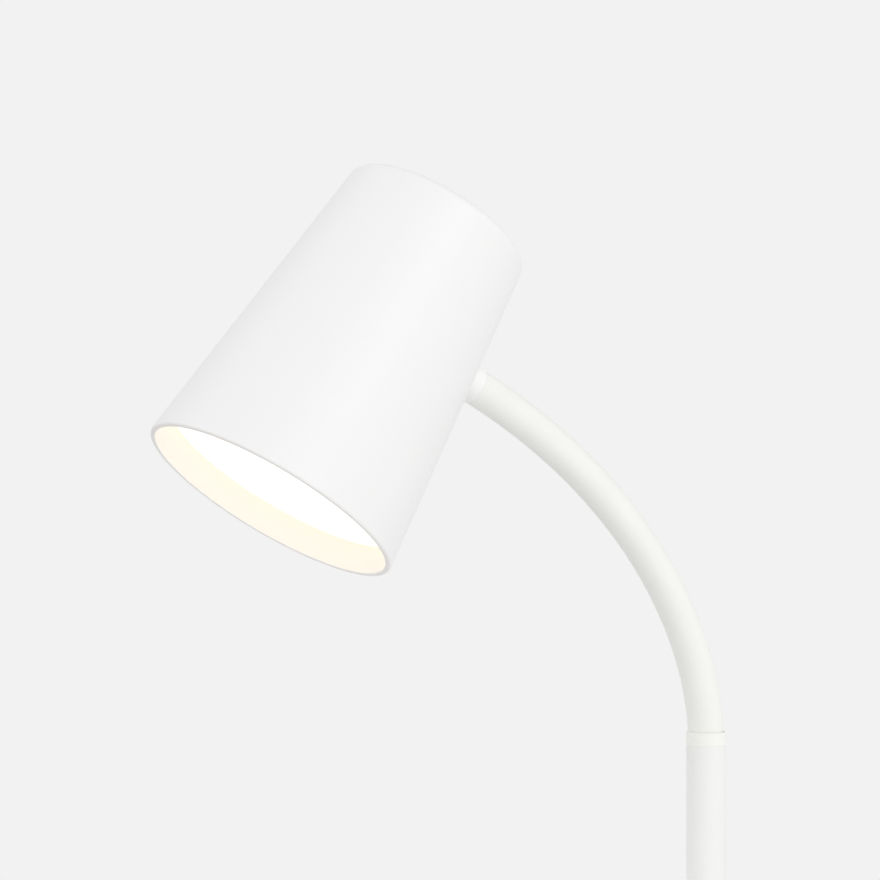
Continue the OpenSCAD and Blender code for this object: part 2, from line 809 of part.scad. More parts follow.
module shade_bracket() {
    bar_in = pad_in - bar_t;
    reach = entry_h + bar_w / 2 + 3;
    color("silver") difference() {
        union() {
            in_shade() rotate([90, 0, 0]) linear_extrude(height = bar_w, center = true) polygon([
                [wall_x(sink_top, bar_in), sink_top], [wall_x(reach, bar_in), reach],
                [wall_x(reach, pad_in), reach], [wall_x(sink_top + bar_t, pad_in), sink_top + bar_t],
                [foot_inner_x, sink_top + bar_t], [foot_inner_x, sink_top]]);
            intersection() {
                in_shade() shade_cone(shade_wall);
                at_entry() translate([-bar_w / 2, -bar_w / 2, 0]) cube([bar_w, bar_w, washer_seat]);
            }
        }
        at_entry() {
            translate([0, 0, -1]) cylinder(r = shank_r + hole_slip, h = shank_in);
            translate([0, 0, washer_seat]) cylinder(r = spot_face_r, h = 10);
        }
        in_shade() at_foot_screws() translate([0, 0, -1]) cylinder(r = m3_r, h = bar_t + 2);
    }
}

module at_foot_screws() {
    for (y = [-foot_screw_y, foot_screw_y]) translate([foot_screw_x, y, sink_top]) children();
}

module bracket_screws() {
    color("gray") in_shade() at_foot_screws() translate([0, 0, bar_t]) pan_screw(m3_r, bar_t + sink_t - 1);
}

module tip_washer() {
    color("silver") at_entry() translate([0, 0, washer_seat])
        ring(spot_face_r - 2 * hole_slip, shank_r + hole_slip, washer_t);
}

module tip_nut() {
    color("silver") at_entry() translate([0, 0, washer_seat + washer_t])
        hex_nut(shank_nut_flats, shank_r, nut_t);
}

// ---- head: light unit ----

// Three places around the board's rim, turned by turn, where a screw's head rests at height z.
module at_rim_screws(turn, z) {
    for (i = [0 : 2]) rotate([0, 0, turn + i * 120]) translate([rim_screw_ring, 0, z])
        mirror([0, 0, 1]) children();
}

module at_reflector_screws() {
    at_rim_screws(60, board_face - flange_t) children();
}

module at_board_screws() {
    at_rim_screws(0, board_face) children();
}

// A hole of radius r for len of a rim screw's shank.
module shank_hole(r, len) {
    translate([0, 0, -len]) cylinder(r = r, h = len + 1);
}

module heat_sink() {
    sink_r = wall_x(sink_top, shade_wall) - 2 * set_slip;
    fin_reach = wall_x(sink_top + fin_h, shade_wall) - 2;
    fin_ys = [for (k = [0 : 2]) fin_first + k * fin_pitch];
    color("lightgray") in_shade() difference() {
        union() {
            translate([0, 0, sink_z]) cylinder(r = sink_r, h = sink_t);
            for (side = [-1, 1], y = fin_ys) let (half = sqrt(pow(fin_reach, 2) - pow(y + fin_t, 2)))
                translate([-half, side * y - fin_t / 2, sink_top - 0.1])
                    cube([2 * half, fin_t, fin_h + 0.1]);
        }
        at_foot_screws() translate([0, 0, 1 - sink_t]) cylinder(r = m3_r, h = sink_t);
        at_reflector_screws() shank_hole(m3_r, reflector_screw_len);
        at_board_screws() shank_hole(board_screw_r, board_screw_len);
        translate([0, 0, sink_z - 1]) cylinder(r = grommet_r, h = sink_t + 2);
    }
}

module reflector() {
    lip_r = wall_x(diffuser_top, shade_wall) - set_slip;
    inner_r = rim_screw_ring - m3_head_r - 1.2;
    throat_r = rim_screw_ring + m3_head_r + 0.4;
    front = board_face - flange_t;
    color("white") in_shade() difference() {
        rotate_extrude() polygon([
            [inner_r, board_face], [throat_r + reflector_wall, board_face],
            [lip_r, diffuser_top + 0.3], [lip_r, diffuser_top],
            [lip_r - reflector_wall, diffuser_top], [throat_r, front], [inner_r, front]]);
        at_reflector_screws() shank_hole(m3_r + hole_slip, flange_t + 1);
        at_board_screws() translate([0, 0, -1])
            cylinder(r = pan_head_r(board_screw_r) + 2 * hole_slip, h = flange_t + 2);
    }
}

module reflector_screws() {
    color("gray") in_shade() at_reflector_screws() pan_screw(m3_r, reflector_screw_len);
}

module led_board() {
    color("ivory") in_shade() difference() {
        translate([0, 0, board_face]) cylinder(d = board_d, h = board_t);
        at_board_screws() shank_hole(board_screw_r, board_t + 1);
        at_reflector_screws() shank_hole(m3_r + hole_slip, flange_t + board_t + 1);
    }
}

module led_chips() {
    color("yellow") in_shade() for (spec = [[chip_ring_r, 9], [chip_core_r, 3]], i = [0 : spec[1] - 1])
        rotate([0, 0, (i + 0.5) * 360 / spec[1]])
            translate([spec[0] - chip_w / 2, -chip_w / 2, board_face - chip_t])
                cube([chip_w, chip_w, chip_t]);
}

module board_screws() {
    color("gray") in_shade() at_board_screws() pan_screw(board_screw_r, board_screw_len);
}

module diffuser() {
    color("lightyellow") in_shade() translate([0, 0, diffuser_depth])
        cylinder(r = wall_x(diffuser_top, shade_wall) - set_slip, h = diffuser_t);
}

module wire_grommet() {
    lip = 0.8;
    bore = wire_y + wire_r + 0.1;
    color("black") in_shade() rotate_extrude() polygon([
        [bore, sink_z + 0.2], [grommet_r, sink_z + 0.2], [grommet_r, sink_top],
        [grommet_r + 1, sink_top], [grommet_r + 1, sink_top + lip], [bore, sink_top + lip]]);
}

// A point ds inside the shade on the neck's line, y to the side, in the shade's own frame.
function in_shade_point(ds, y) =
    [entry_r - ds * cos(cone + entry_skew), y, entry_h - ds * sin(cone + entry_skew)];

module head_wires() {
    color("saddlebrown") in_shade() for (y = [-wire_y, wire_y])
        lead([in_shade_point(0, y), in_shade_point(shank_in + 6, y), [0, y, sink_top + fin_h],
              [0, y, sink_z]], [0, 1, 0]);
}

foot_pad();
base_plate();
plate_screws();
base_weight();
base_cover();
foot_ring();
post_nipple();
nipple_washer();
nipple_nut();
post_plug();
post_tube();
post_collar();
neck_anchor();
anchor_set_screw();
switch_bezel();
switch_ring_nut();
switch_body();
switch_terminals();
switch_spring();
switch_button();
cord_gland();
gland_nut();
terminal_block();
terminal_screws();
base_wires();
post_wires();
for (i = [1 : link_count]) neck_link(i);
neck_sleeve();
neck_wires();
neck_tip();
tip_ferrule();
shade_shell();
shade_bracket();
tip_washer();
tip_nut();
heat_sink();
bracket_screws();
reflector();
reflector_screws();
led_board();
led_chips();
board_screws();
diffuser();
wire_grommet();
head_wires();
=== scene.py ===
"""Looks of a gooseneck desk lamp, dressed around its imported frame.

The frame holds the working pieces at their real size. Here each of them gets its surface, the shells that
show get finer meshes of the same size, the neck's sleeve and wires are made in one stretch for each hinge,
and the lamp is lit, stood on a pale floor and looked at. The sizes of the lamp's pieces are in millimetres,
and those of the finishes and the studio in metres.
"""

import json
import logging
import math
from dataclasses import dataclass
from enum import Enum
from typing import Sequence

import bmesh
import bpy
from mathutils import Matrix, Vector


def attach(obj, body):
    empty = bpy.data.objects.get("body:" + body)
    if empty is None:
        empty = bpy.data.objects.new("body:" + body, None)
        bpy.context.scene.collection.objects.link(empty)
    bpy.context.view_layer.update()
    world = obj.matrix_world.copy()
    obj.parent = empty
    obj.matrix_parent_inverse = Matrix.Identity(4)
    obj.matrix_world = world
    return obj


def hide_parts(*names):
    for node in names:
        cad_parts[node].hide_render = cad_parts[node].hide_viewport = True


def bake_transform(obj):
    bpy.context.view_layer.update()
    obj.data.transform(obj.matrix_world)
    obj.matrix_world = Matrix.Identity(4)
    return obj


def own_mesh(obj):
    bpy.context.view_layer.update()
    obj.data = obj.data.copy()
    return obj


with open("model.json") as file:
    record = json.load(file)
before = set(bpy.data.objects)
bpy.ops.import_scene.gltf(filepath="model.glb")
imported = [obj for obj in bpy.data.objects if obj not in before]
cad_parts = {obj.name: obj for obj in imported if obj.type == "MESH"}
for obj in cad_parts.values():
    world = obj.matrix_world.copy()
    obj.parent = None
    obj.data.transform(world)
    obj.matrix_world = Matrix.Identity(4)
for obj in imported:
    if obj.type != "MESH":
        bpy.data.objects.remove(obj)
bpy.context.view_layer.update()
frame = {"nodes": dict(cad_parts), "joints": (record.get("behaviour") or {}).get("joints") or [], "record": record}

MM = 0.001
MERGE = 0.002 * MM  # points nearer than this become one after a cut
SLACK = 0.02 * MM  # how far off a place along the neck may be
SHARP_ANGLE = math.radians(32)  # an edge that turns by more is shaded as an edge
FINE = 6.0  # degrees between the points of a rounding that shows
REST_ATTRIBUTE = "rest_place"
Point = tuple[float, float]
Corner = tuple[float, float, float]
Triple = tuple[float, float, float]
Colour = tuple[float, float, float]
log = logging.getLogger("lamp")


# ---- nodes and surfaces ----


class Wire:
    """One output of a node, with Python's arithmetic for the maths on it."""

    def __init__(self, graph: "Graph", socket: bpy.types.NodeSocket | None) -> None:
        """Holds a socket and the graph that it is in."""
        self.graph = graph
        self.socket = socket

    def _math(self, operation: str, *values: "Wire | float") -> "Wire":
        """Adds a Math node that works on these values."""
        return self.graph.node("ShaderNodeMath", {"operation": operation}, dict(enumerate(values)))

    def __add__(self, other: "Wire | float") -> "Wire":
        """Sum."""
        return self._math("ADD", self, other)

    def __radd__(self, other: float) -> "Wire":
        """Sum with the number first."""
        return self._math("ADD", other, self)

    def __sub__(self, other: "Wire | float") -> "Wire":
        """Difference."""
        return self._math("SUBTRACT", self, other)

    def __rsub__(self, other: float) -> "Wire":
        """Difference with the number first."""
        return self._math("SUBTRACT", other, self)

    def __mul__(self, other: "Wire | float") -> "Wire":
        """Product."""
        return self._math("MULTIPLY", self, other)

    def __rmul__(self, other: float) -> "Wire":
        """Product with the number first."""
        return self._math("MULTIPLY", other, self)

    def __pow__(self, other: float) -> "Wire":
        """Power."""
        return self._math("POWER", self, other)

    def above(self, level: float) -> "Wire":
        """One where the value is over a level, and zero elsewhere."""
        return self._math("GREATER_THAN", self, level)

    def clamped(self) -> "Wire":
        """The value held between zero and one."""
        return self.graph.node("ShaderNodeClamp", {}, {0: self})

    def swing(self, reach: float) -> "Wire":
        """A value from 0 to 1 made to swing about zero, for what varies about its middle."""
        return reach * (self - 0.5)


class Graph:
    """The node tree of a material, a world or a modifier."""

    def __init__(self, tree: bpy.types.NodeTree) -> None:
        """Empties a node tree and takes it over."""
        self.tree = tree
        tree.nodes.clear()

    def node(self, kind: str, settings: dict, sockets: dict, output: int | str = 0) -> Wire:
        """Adds a node.

        Args:
            kind: the node's type.
            settings: its properties, such as a Math node's operation. They are set first.
            sockets: a value or a wire for each input, by name or number.
            output: the output to return.

        Returns:
            The wire from that output.
        """
        made = self.tree.nodes.new(kind)
        for key, value in settings.items():
            setattr(made, key, value)
        for key, value in sockets.items():
            socket = made.inputs[key]
            if isinstance(value, Wire):
                self.tree.links.new(value.socket, socket)
            else:
                socket.default_value = value
        return Wire(self, made.outputs[output] if len(made.outputs) else None)

    def place(self) -> Wire:
        """Each point's place in the piece's own coordinates."""
        return self.node("ShaderNodeTexCoord", {}, {}, "Object")

    def rest_place(self) -> Wire:
        """Each point's place before the neck bent, as the piece's own attribute says."""
        return self.node("ShaderNodeAttribute", {"attribute_name": REST_ATTRIBUTE}, {}, "Vector")

    def stretched(self, place: Wire, stretch: Triple) -> Wire:
        """A place scaled, for a pattern that is longer one way."""
        return self.node("ShaderNodeMapping", {}, {"Vector": place, "Scale": stretch})

    def noise(self, place: Wire, grain: float, detail: float = 2.0) -> Wire:
        """Smooth noise from 0 to 1 whose lumps measure about grain."""
        sockets = {"Vector": place, "Scale": 1.0 / grain, "Detail": detail, "Roughness": 0.5}
        return self.node("ShaderNodeTexNoise", {"noise_dimensions": "3D"}, sockets, "Fac")

    def pores(self, place: Wire, grain: float) -> Wire:
        """Distance to the nearest of many scattered points, about grain apart."""
        return self.node("ShaderNodeTexVoronoi", {"feature": "F1"}, {"Vector": place, "Scale": 1.0 / grain})

    def mix(self, share: Wire, low: Colour, high: Colour) -> Wire:
        """A colour between two, by a share from 0 to 1. The Mix node's colours are its sockets 6 and 7."""
        sockets = {0: share, 6: (*low, 1.0), 7: (*high, 1.0)}
        return self.node("ShaderNodeMix", {"data_type": "RGBA"}, sockets, 2)

    def relief(self, height: Wire, depth: float) -> Wire:
        """A normal bent by a height from 0 to 1 that stands for depth in metres."""
        return self.node("ShaderNodeBump", {}, {"Height": height, "Distance": depth, "Strength": 1.0})


def toned(colour: Colour, share: float) -> Colour:
    """A colour at a share of its strength."""
    return tuple(channel * share for channel in colour)


@dataclass(frozen=True)
class Finish:
    """A surface that any number of pieces can wear, by the name of its material and its main colour."""

    name: str
    colour: Colour

    def material(self) -> bpy.types.Material:
        """Makes the material the first time it is asked for.

        Returns:
            The material.
        """
        made = bpy.data.materials.get(self.name)
        if made is None:
            made = bpy.data.materials.new(self.name)
            made.use_nodes = True
            graph = Graph(made.node_tree)
            shader = graph.node("ShaderNodeBsdfPrincipled", {}, self.sockets(graph))
            graph.node("ShaderNodeOutputMaterial", {}, {"Surface": shader})
        return made

    def sockets(self, graph: Graph) -> dict:
        """The values and wires of the shader's inputs, made in the material's node tree."""
        raise NotImplementedError


@dataclass(frozen=True)
class PowderCoat(Finish):
    """Baked paint on metal: almost even, with a faint orange peel."""

    gloss: float = 0.42
    cloud: float = 22 * MM
    cloud_tone: float = 0.985
    cloud_gloss: float = 0.06
    peel: float = 0.9 * MM
    peel_gloss: float = 0.05
    peel_depth: float = 0.0012 * MM
    ior: float = 1.46

    def sockets(self, graph: Graph) -> dict:
        """Makes paint with slow clouds of tone and a fine relief.

        Args:
            graph: the material's node tree.

        Returns:
            The shader's inputs.
        """
        place = graph.place()
        cloud = graph.noise(place, self.cloud)
        peel = graph.noise(place, self.peel)
        return {
            "Base Color": graph.mix(cloud, toned(self.colour, self.cloud_tone), self.colour),
            "Roughness": self.gloss + cloud.swing(self.cloud_gloss) + peel.swing(self.peel_gloss),
            "IOR": self.ior,
            "Normal": graph.relief(peel, self.peel_depth),
        }


@dataclass(frozen=True)
class SoftSkin(Finish):
    """The neck's soft sleeve: matte, with a dry bloom that follows the sleeve as it bends."""

    gloss: float = 0.62
    grain: float = 0.35 * MM
    grain_depth: float = 0.003 * MM
    smudge: float = 9 * MM
    smudge_tone: float = 0.975
    smudge_gloss: float = 0.12
    bloom: float = 0.05
    bloom_gloss: float = 0.5
    ior: float = 1.41

    def sockets(self, graph: Graph) -> dict:
        """Makes matte skin with a fine grain and faint handling marks.

        Args:
            graph: the material's node tree.

        Returns:
            The shader's inputs.
        """
        place = graph.rest_place()
        grain = graph.noise(place, self.grain, 3.0)
        smudge = graph.noise(place, self.smudge)
        return {
            "Base Color": graph.mix(smudge, toned(self.colour, self.smudge_tone), self.colour),
            "Roughness": self.gloss + smudge.swing(self.smudge_gloss),
            "IOR": self.ior,
            "Sheen Weight": self.bloom,
            "Sheen Roughness": self.bloom_gloss,
            "Normal": graph.relief(grain, self.grain_depth),
        }


@dataclass(frozen=True)
class MouldedPlastic(Finish):
    """Plastic from a finely eroded mould."""

    gloss: float = 0.4
    grain: float = 0.22 * MM
    grain_gloss: float = 0.1
    grain_depth: float = 0.004 * MM
    flow: float = 5 * MM
    flow_run: Triple = (1.0, 1.0, 0.2)
    flow_tone: float = 0.96
    ior: float = 1.49

    def sockets(self, graph: Graph) -> dict:
        """Makes plastic with an even, fine pitted grain and faint marks of its flow.

        Args:
            graph: the material's node tree.

        Returns:
            The shader's inputs.
        """
        place = graph.place()
        grain = graph.noise(place, self.grain, 4.0)
        flow = graph.noise(graph.stretched(place, self.flow_run), self.flow)
        return {
            "Base Color": graph.mix(flow, toned(self.colour, self.flow_tone), self.colour),
            "Roughness": self.gloss + grain.swing(self.grain_gloss),
            "IOR": self.ior,
            "Normal": graph.relief(grain, self.grain_depth),
        }


@dataclass(frozen=True)
class WorkedMetal(Finish):
    """Bare metal with the marks of its last tool, which run one way."""

    gloss: float = 0.32
    mark: float = 0.12 * MM
    mark_run: Triple = (1.0, 1.0, 0.06)
    mark_gloss: float = 0.16
    mark_depth: float = 0.004 * MM
    stain: float = 4 * MM
    stain_tone: float = 0.8
    stain_gloss: float = 0.1

    def sockets(self, graph: Graph) -> dict:
        """Makes metal with long marks and a little staining.

        Args:
            graph: the material's node tree.

        Returns:
            The shader's inputs.
        """
        place = graph.place()
        marks = graph.noise(graph.stretched(place, self.mark_run), self.mark, 3.0)
        stain = graph.noise(place, self.stain)
        return {
            "Base Color": graph.mix(stain, toned(self.colour, self.stain_tone), self.colour),
            "Metallic": 1.0,
            "Roughness": self.gloss + marks.swing(self.mark_gloss) + stain.swing(self.stain_gloss),
            "Normal": graph.relief(marks, self.mark_depth),
        }


@dataclass(frozen=True)
class SandCasting(Finish):
    """Cast iron as it leaves the sand, under a thin dark primer."""

    gloss: float = 0.62
    metal: float = 0.35
    sand: float = 0.7 * MM
    sand_gloss: float = 0.3
    sand_depth: float = 0.12 * MM
    rust: Colour = (0.16, 0.07, 0.035)
    rust_patch: float = 6 * MM
    rust_from: float = 0.58

    def sockets(self, graph: Graph) -> dict:
        """Makes coarse sand grain, with rust in a few of its hollows.

        Args:
            graph: the material's node tree.

        Returns:
            The shader's inputs.
        """
        place = graph.place()
        sand = graph.noise(place, self.sand, 5.0)
        rust = graph.noise(place, self.rust_patch, 4.0).above(self.rust_from) * (1.0 - sand)
        return {
            "Base Color": graph.mix(rust.clamped(), self.colour, self.rust),
            "Metallic": self.metal,
            "Roughness": self.gloss + sand.swing(self.sand_gloss),
            "Normal": graph.relief(sand, self.sand_depth),
        }


@dataclass(frozen=True)
class ClosedFoam(Finish):
    """Closed-cell foam sheet with skinned pores."""

    gloss: float = 0.85
    pore: float = 0.8 * MM
    pore_tone: float = 1.7
    pore_dust: float = 0.01
    pore_gloss: float = 0.1
    pore_depth: float = 0.1 * MM

    def sockets(self, graph: Graph) -> dict:
        """Makes dark foam whose pores are a little paler at their rims.

        Args:
            graph: the material's node tree.

        Returns:
            The shader's inputs.
        """
        pores = graph.pores(graph.place(), self.pore)
        pale = tuple(channel + self.pore_dust for channel in toned(self.colour, self.pore_tone))
        return {
            "Base Color": graph.mix(pores.clamped(), self.colour, pale),
            "Roughness": self.gloss + pores.swing(self.pore_gloss),
            "Normal": graph.relief(pores, self.pore_depth),
        }


@dataclass(frozen=True)
class OpalGlow(Finish):
    """A round opal sheet lit from behind, a touch warmer and dimmer near its edge."""

    middle: Colour
    rim: Colour
    strength: float
    centre: Triple
    tilt: float
    radius: float
    fade: float = 8 * MM
    fade_curve: float = 1.5
    edge_tone: float = 0.97
    gloss: float = 0.38
    grain: float = 0.5 * MM
    grain_gloss: float = 0.1
    grain_depth: float = 0.002 * MM

    def sockets(self, graph: Graph) -> dict:
        """Makes light that falls off slowly towards the sheet's edge.

        Args:
            graph: the material's node tree.

        Returns:
            The shader's inputs.
        """
        turned = {"Vector": graph.place(), "Location": self.centre, "Rotation": (0.0, self.tilt, 0.0)}
        local = graph.node("ShaderNodeMapping", {"vector_type": "TEXTURE"}, turned)
        flat = graph.node("ShaderNodeVectorMath", {"operation": "MULTIPLY"}, {0: local, 1: (1.0, 1.0, 0.0)})
        reach = graph.node("ShaderNodeVectorMath", {"operation": "LENGTH"}, {0: flat}, "Value")
        share = ((reach - self.radius) * (1.0 / self.fade) + 1.0).clamped() ** self.fade_curve
        grain = graph.noise(graph.place(), self.grain)
        return {
            "Base Color": graph.mix(share, self.colour, toned(self.colour, self.edge_tone)),
            "Roughness": self.gloss + grain.swing(self.grain_gloss),
            "Emission Color": graph.mix(share, self.middle, self.rim),
            "Emission Strength": self.strength,
            "Normal": graph.relief(grain, self.grain_depth),
        }


@dataclass(frozen=True)
class Phosphor(Finish):
    """The yellow resin of a white light chip."""

    gloss: float = 0.2
    grain: float = 0.2 * MM
    grain_tone: float = 0.85
    grain_gloss: float = 0.2
    grain_depth: float = 0.003 * MM

    def sockets(self, graph: Graph) -> dict:
        """Makes resin with suspended grains.

        Args:
            graph: the material's node tree.

        Returns:
            The shader's inputs.
        """
        grain = graph.noise(graph.place(), self.grain, 4.0)
        return {
            "Base Color": graph.mix(grain, toned(self.colour, self.grain_tone), self.colour),
            "Roughness": self.gloss + self.grain_gloss * grain,
            "Normal": graph.relief(grain, self.grain_depth),
        }


# ---- the frame's own lines, in millimetres ----


@dataclass(frozen=True)
class NeckLine:
    """The neck's middle line: arcs in the XZ plane whose radius grows evenly from the post to the shade."""

    foot: float = 225.0
    length: float = 147.2
    lead: float = 8.0  # from the post to the first hinge
    tail: float = 14.2  # from the last hinge to the shade
    low: float = 71.2  # radius of the first arc
    high: float = 221.0  # radius of the last arc
    links: int = 11

    @property
    def pitch(self) -> float:
        """Length of neck between two hinges."""
        return (self.length - self.lead - self.tail) / self.links

    def hinge(self, number: int) -> float:
        """How far along the line a hinge is, the first being number 1."""
        return self.lead + (number - 1) * self.pitch

    def at(self, run: float) -> tuple[Vector, float]:
        """A place on the line.

        Args:
            run: the distance along it from the post.

        Returns:
            The point in metres, and the line's lean from vertical in radians.
        """
        x, z, lean = 0.0, self.foot, 0.0
        for number in range(self.links + 2):
            last = number == self.links + 1
            full = self.lead if number == 0 else self.pitch
            radius = self.low + (self.high - self.low) * number / (self.links + 1)
            step = run if last else min(run, full)
            after = lean + step / radius
            x -= radius * (math.cos(lean) - math.cos(after))
            z += radius * (math.sin(after) - math.sin(lean))
            lean, run = after, run - step
            if run <= 0.0:
                break
        return Vector((x, 0.0, z)) * MM, lean

    def frame(self, run: float) -> Matrix:
        """A frame on the line, its Z along the neck."""
        point, lean = self.at(run)
        return Matrix.Translation(point) @ Matrix.Rotation(-lean, 4, "Y")


@dataclass(frozen=True)
class Cone:
    """The shade's cone. Its own Z runs from the mouth to the closed end, and its X points at the neck."""

    mouth: float = 39.0
    crown: float = 28.3
    length: float = 98.4
    entry: float = 64.4  # height that the neck comes in at
    skew: float = math.radians(1.2)  # how far the neck is off square to the wall there

    @property
    def slope(self) -> float:
        """Angle between the wall and the axis."""
        return math.atan((self.mouth - self.crown) / self.length)

    def wall(self, height: float, inset: float = 0.0) -> float:
        """Radius of the wall at a height, moved inwards by inset."""
        return self.mouth - height * math.tan(self.slope) - inset / math.cos(self.slope)

    def tilt(self, lean: float) -> float:
        """Angle of the axis from vertical, where the neck enters with this lean."""
        return math.pi / 2 - lean + self.slope + self.skew

    def frame(self, line: NeckLine) -> Matrix:
        """Finds the shade's frame at the end of the neck.

        Args:
            line: the neck's middle line.

        Returns:
            The frame, its origin in the middle of the mouth.
        """
        point, lean = line.at(line.length)
        turn = Matrix.Rotation(self.tilt(lean), 4, "Y")
        away = Matrix.Translation(Vector((-self.wall(self.entry), 0.0, -self.entry)) * MM)
        return Matrix.Translation(point) @ turn @ away


LINE = NeckLine()
CONE = Cone()
HEAD = CONE.frame(LINE)
HEAD_TILT = CONE.tilt(LINE.at(LINE.length)[1])
GLOW_RADIUS = CONE.wall(9.0, 1.4) * MM  # where the diffuser meets the lining


# ---- finishes ----


class Slot(Enum):
    """The record's material slots."""

    WHITE_PAINT = "white_paint"
    WHITE_SLEEVE = "white_sleeve"
    WHITE_PLASTIC = "white_plastic"
    STEEL = "steel"
    BRASS = "brass"
    IRON = "iron"
    FOAM = "foam"
    BLACK_PLASTIC = "black_plastic"
    WIRE_INSULATION = "wire_insulation"
    ALUMINIUM = "aluminium"
    OPAL = "opal"
    PHOSPHOR = "phosphor"


FINISHES: dict[Slot, Finish] = {
    Slot.WHITE_PAINT: PowderCoat("WhitePowderCoat", (0.85, 0.85, 0.848)),
    Slot.WHITE_SLEEVE: SoftSkin("WhiteSleeve", (0.86, 0.862, 0.835)),
    Slot.WHITE_PLASTIC: MouldedPlastic("WhitePlastic", (0.82, 0.82, 0.81)),
    Slot.STEEL: WorkedMetal("ZincSteel", (0.62, 0.63, 0.65)),
    Slot.BRASS: WorkedMetal("Brass", (0.72, 0.53, 0.24), gloss=0.28),
    Slot.IRON: SandCasting("CastIron", (0.055, 0.055, 0.06)),
    Slot.FOAM: ClosedFoam("FootFoam", (0.05, 0.05, 0.052)),
    Slot.BLACK_PLASTIC: MouldedPlastic("BlackPlastic", (0.022, 0.022, 0.024), gloss=0.45),
    Slot.WIRE_INSULATION: MouldedPlastic("WireCover", (0.23, 0.08, 0.03), gloss=0.35),
    Slot.ALUMINIUM: WorkedMetal("SinkAluminium", (0.8, 0.81, 0.82), gloss=0.4),
    Slot.OPAL: OpalGlow("OpalDiffuser", (0.84, 0.83, 0.8), middle=(1.0, 0.95, 0.855), rim=(0.92, 0.845, 0.635),
                        strength=1.02, centre=tuple(HEAD.translation), tilt=HEAD_TILT, radius=GLOW_RADIUS),
    Slot.PHOSPHOR: Phosphor("ChipPhosphor", (0.78, 0.62, 0.16)),
}

# a paler, yellower copy of the white paint for the collar: painted light on the band where the neck leaves the
# post
COLLAR_LIT_PAINT = PowderCoat("CollarLitPowderCoat", (0.876, 0.88, 0.838), gloss=0.5)
# a slightly darker, warmer copy of the white paint for the post: painted shade, for how the post is lit
POST_SHADED_PAINT = PowderCoat("PostShadedPowderCoat", (0.847, 0.848, 0.829))
# a paler copy of the white paint for the ferrule: painted light, for the brighter light that falls on it
FERRULE_LIT_PAINT = PowderCoat("FerruleLitPowderCoat", (0.903, 0.903, 0.896))
# a cream copy of the white paint for the shade's inside: painted light, for the lamp's warm glow on its white
# inner wall
SHADE_INSIDE_PAINTED_GLOW = PowderCoat("ShadeInsidePaintedGlow", (0.862, 0.828, 0.776), gloss=0.5)
RIM_PAINT = PowderCoat("RimPowderCoat", (0.9, 0.878, 0.858))


# ---- shapes ----


def outline(corners: Sequence[Corner], step: float = 9.0) -> list[Point]:
    """A closed section with rounded corners.

    Args:
        corners: for each corner its distance from the axis, its height and its rounding.
        step: the most degrees of turn between two points of a rounding.

    Returns:
        The section's points. One more stands just before and after each rounding, so that what is flat
        between two roundings also looks flat.
    """
    points: list[Point] = []
    for number, (across, height, radius) in enumerate(corners):
        here = Vector((across, height))
        if radius == 0.0:
            points.append((across, height))
            continue
        back = (Vector(corners[number - 1][:2]) - here).normalized()
        ahead = (Vector(corners[(number + 1) % len(corners)][:2]) - here).normalized()
        half = back.angle(ahead) / 2
        reach = radius / math.tan(half)
        centre = here + (back + ahead).normalized() * radius / math.sin(half)
        first, last = (here + way * reach - centre for way in (back, ahead))
        start = math.atan2(first.y, first.x)
        turn = (math.atan2(last.y, last.x) - start + math.pi) % math.tau - math.pi
        count = max(3, math.ceil(abs(math.degrees(turn)) / step))
        angles = [start + turn * k / count for k in range(count + 1)]
        arc = [centre + Vector((math.cos(a), math.sin(a))) * radius for a in angles]
        hold = 0.12 * radius
        held = [here + back * (reach + hold), *arc, here + ahead * (reach + hold)]
        points += [(point.x, point.y) for point in held]
    return points


def lathe(name: str, section: Sequence[Point], sides: int = 96,
          place: Matrix | None = None) -> bpy.types.Mesh:
    """Turns a closed section about the Z axis.

    Args:
        name: the mesh's name.
        section: the section's points, in millimetres from the axis and along it.
        sides: the number of flats that stand for the full round.
        place: the frame that the turned shape stands in.

    Returns:
        A closed mesh.
    """
    mesh = bpy.data.meshes.new(name)
    shape = bmesh.new()
    rows = []
    for across, height in section:
        count = sides if across else 1
        angles = [math.tau * k / count for k in range(count)]
        rows.append([shape.verts.new((across * MM * math.cos(a), across * MM * math.sin(a), height * MM))
                     for a in angles])
    for one, two in zip(rows, rows[1:] + rows[:1]):
        for k in range(sides):
            loop = [one[k % len(one)], one[(k + 1) % len(one)], two[(k + 1) % len(two)], two[k % len(two)]]
            loop = list(dict.fromkeys(loop))
            if len(loop) > 2:
                shape.faces.new(loop)
    bmesh.ops.recalc_face_normals(shape, faces=shape.faces)
    shape.transform(place or Matrix.Identity(4))
    shape.to_mesh(mesh)
    shape.free()
    return mesh


def rod(name: str, radius: float, start: float, end: float, place: Matrix,
        sides: int = 64) -> bpy.types.Mesh:
    """A round bar to cut a hole with, turned so that its flats miss the edges of what it cuts."""
    turned = place @ Matrix.Rotation(math.pi / (2 * sides), 4, "Z")
    return lathe(name, [(0.0, start), (radius, start), (radius, end), (0.0, end)], sides, turned)


def holder(mesh: bpy.types.Mesh) -> bpy.types.Object:
    """Puts a mesh in the scene.

    Args:
        mesh: the mesh, which gives the object its name.

    Returns:
        The object, at the origin.
    """
    made = bpy.data.objects.new(mesh.name, mesh)
    bpy.context.scene.collection.objects.link(made)
    return made


def settled(carrier: bpy.types.Object) -> bpy.types.Mesh:
    """Turns what an object's modifiers make into a plain mesh.

    Args:
        carrier: the object, which goes with its modifiers and its first mesh.

    Returns:
        The new mesh, under the object's name.
    """
    shown = carrier.evaluated_get(bpy.context.evaluated_depsgraph_get())
    mesh, before, name = bpy.data.meshes.new_from_object(shown), carrier.data, carrier.name
    bpy.data.objects.remove(carrier)
    bpy.data.meshes.remove(before)
    mesh.name = name
    return mesh


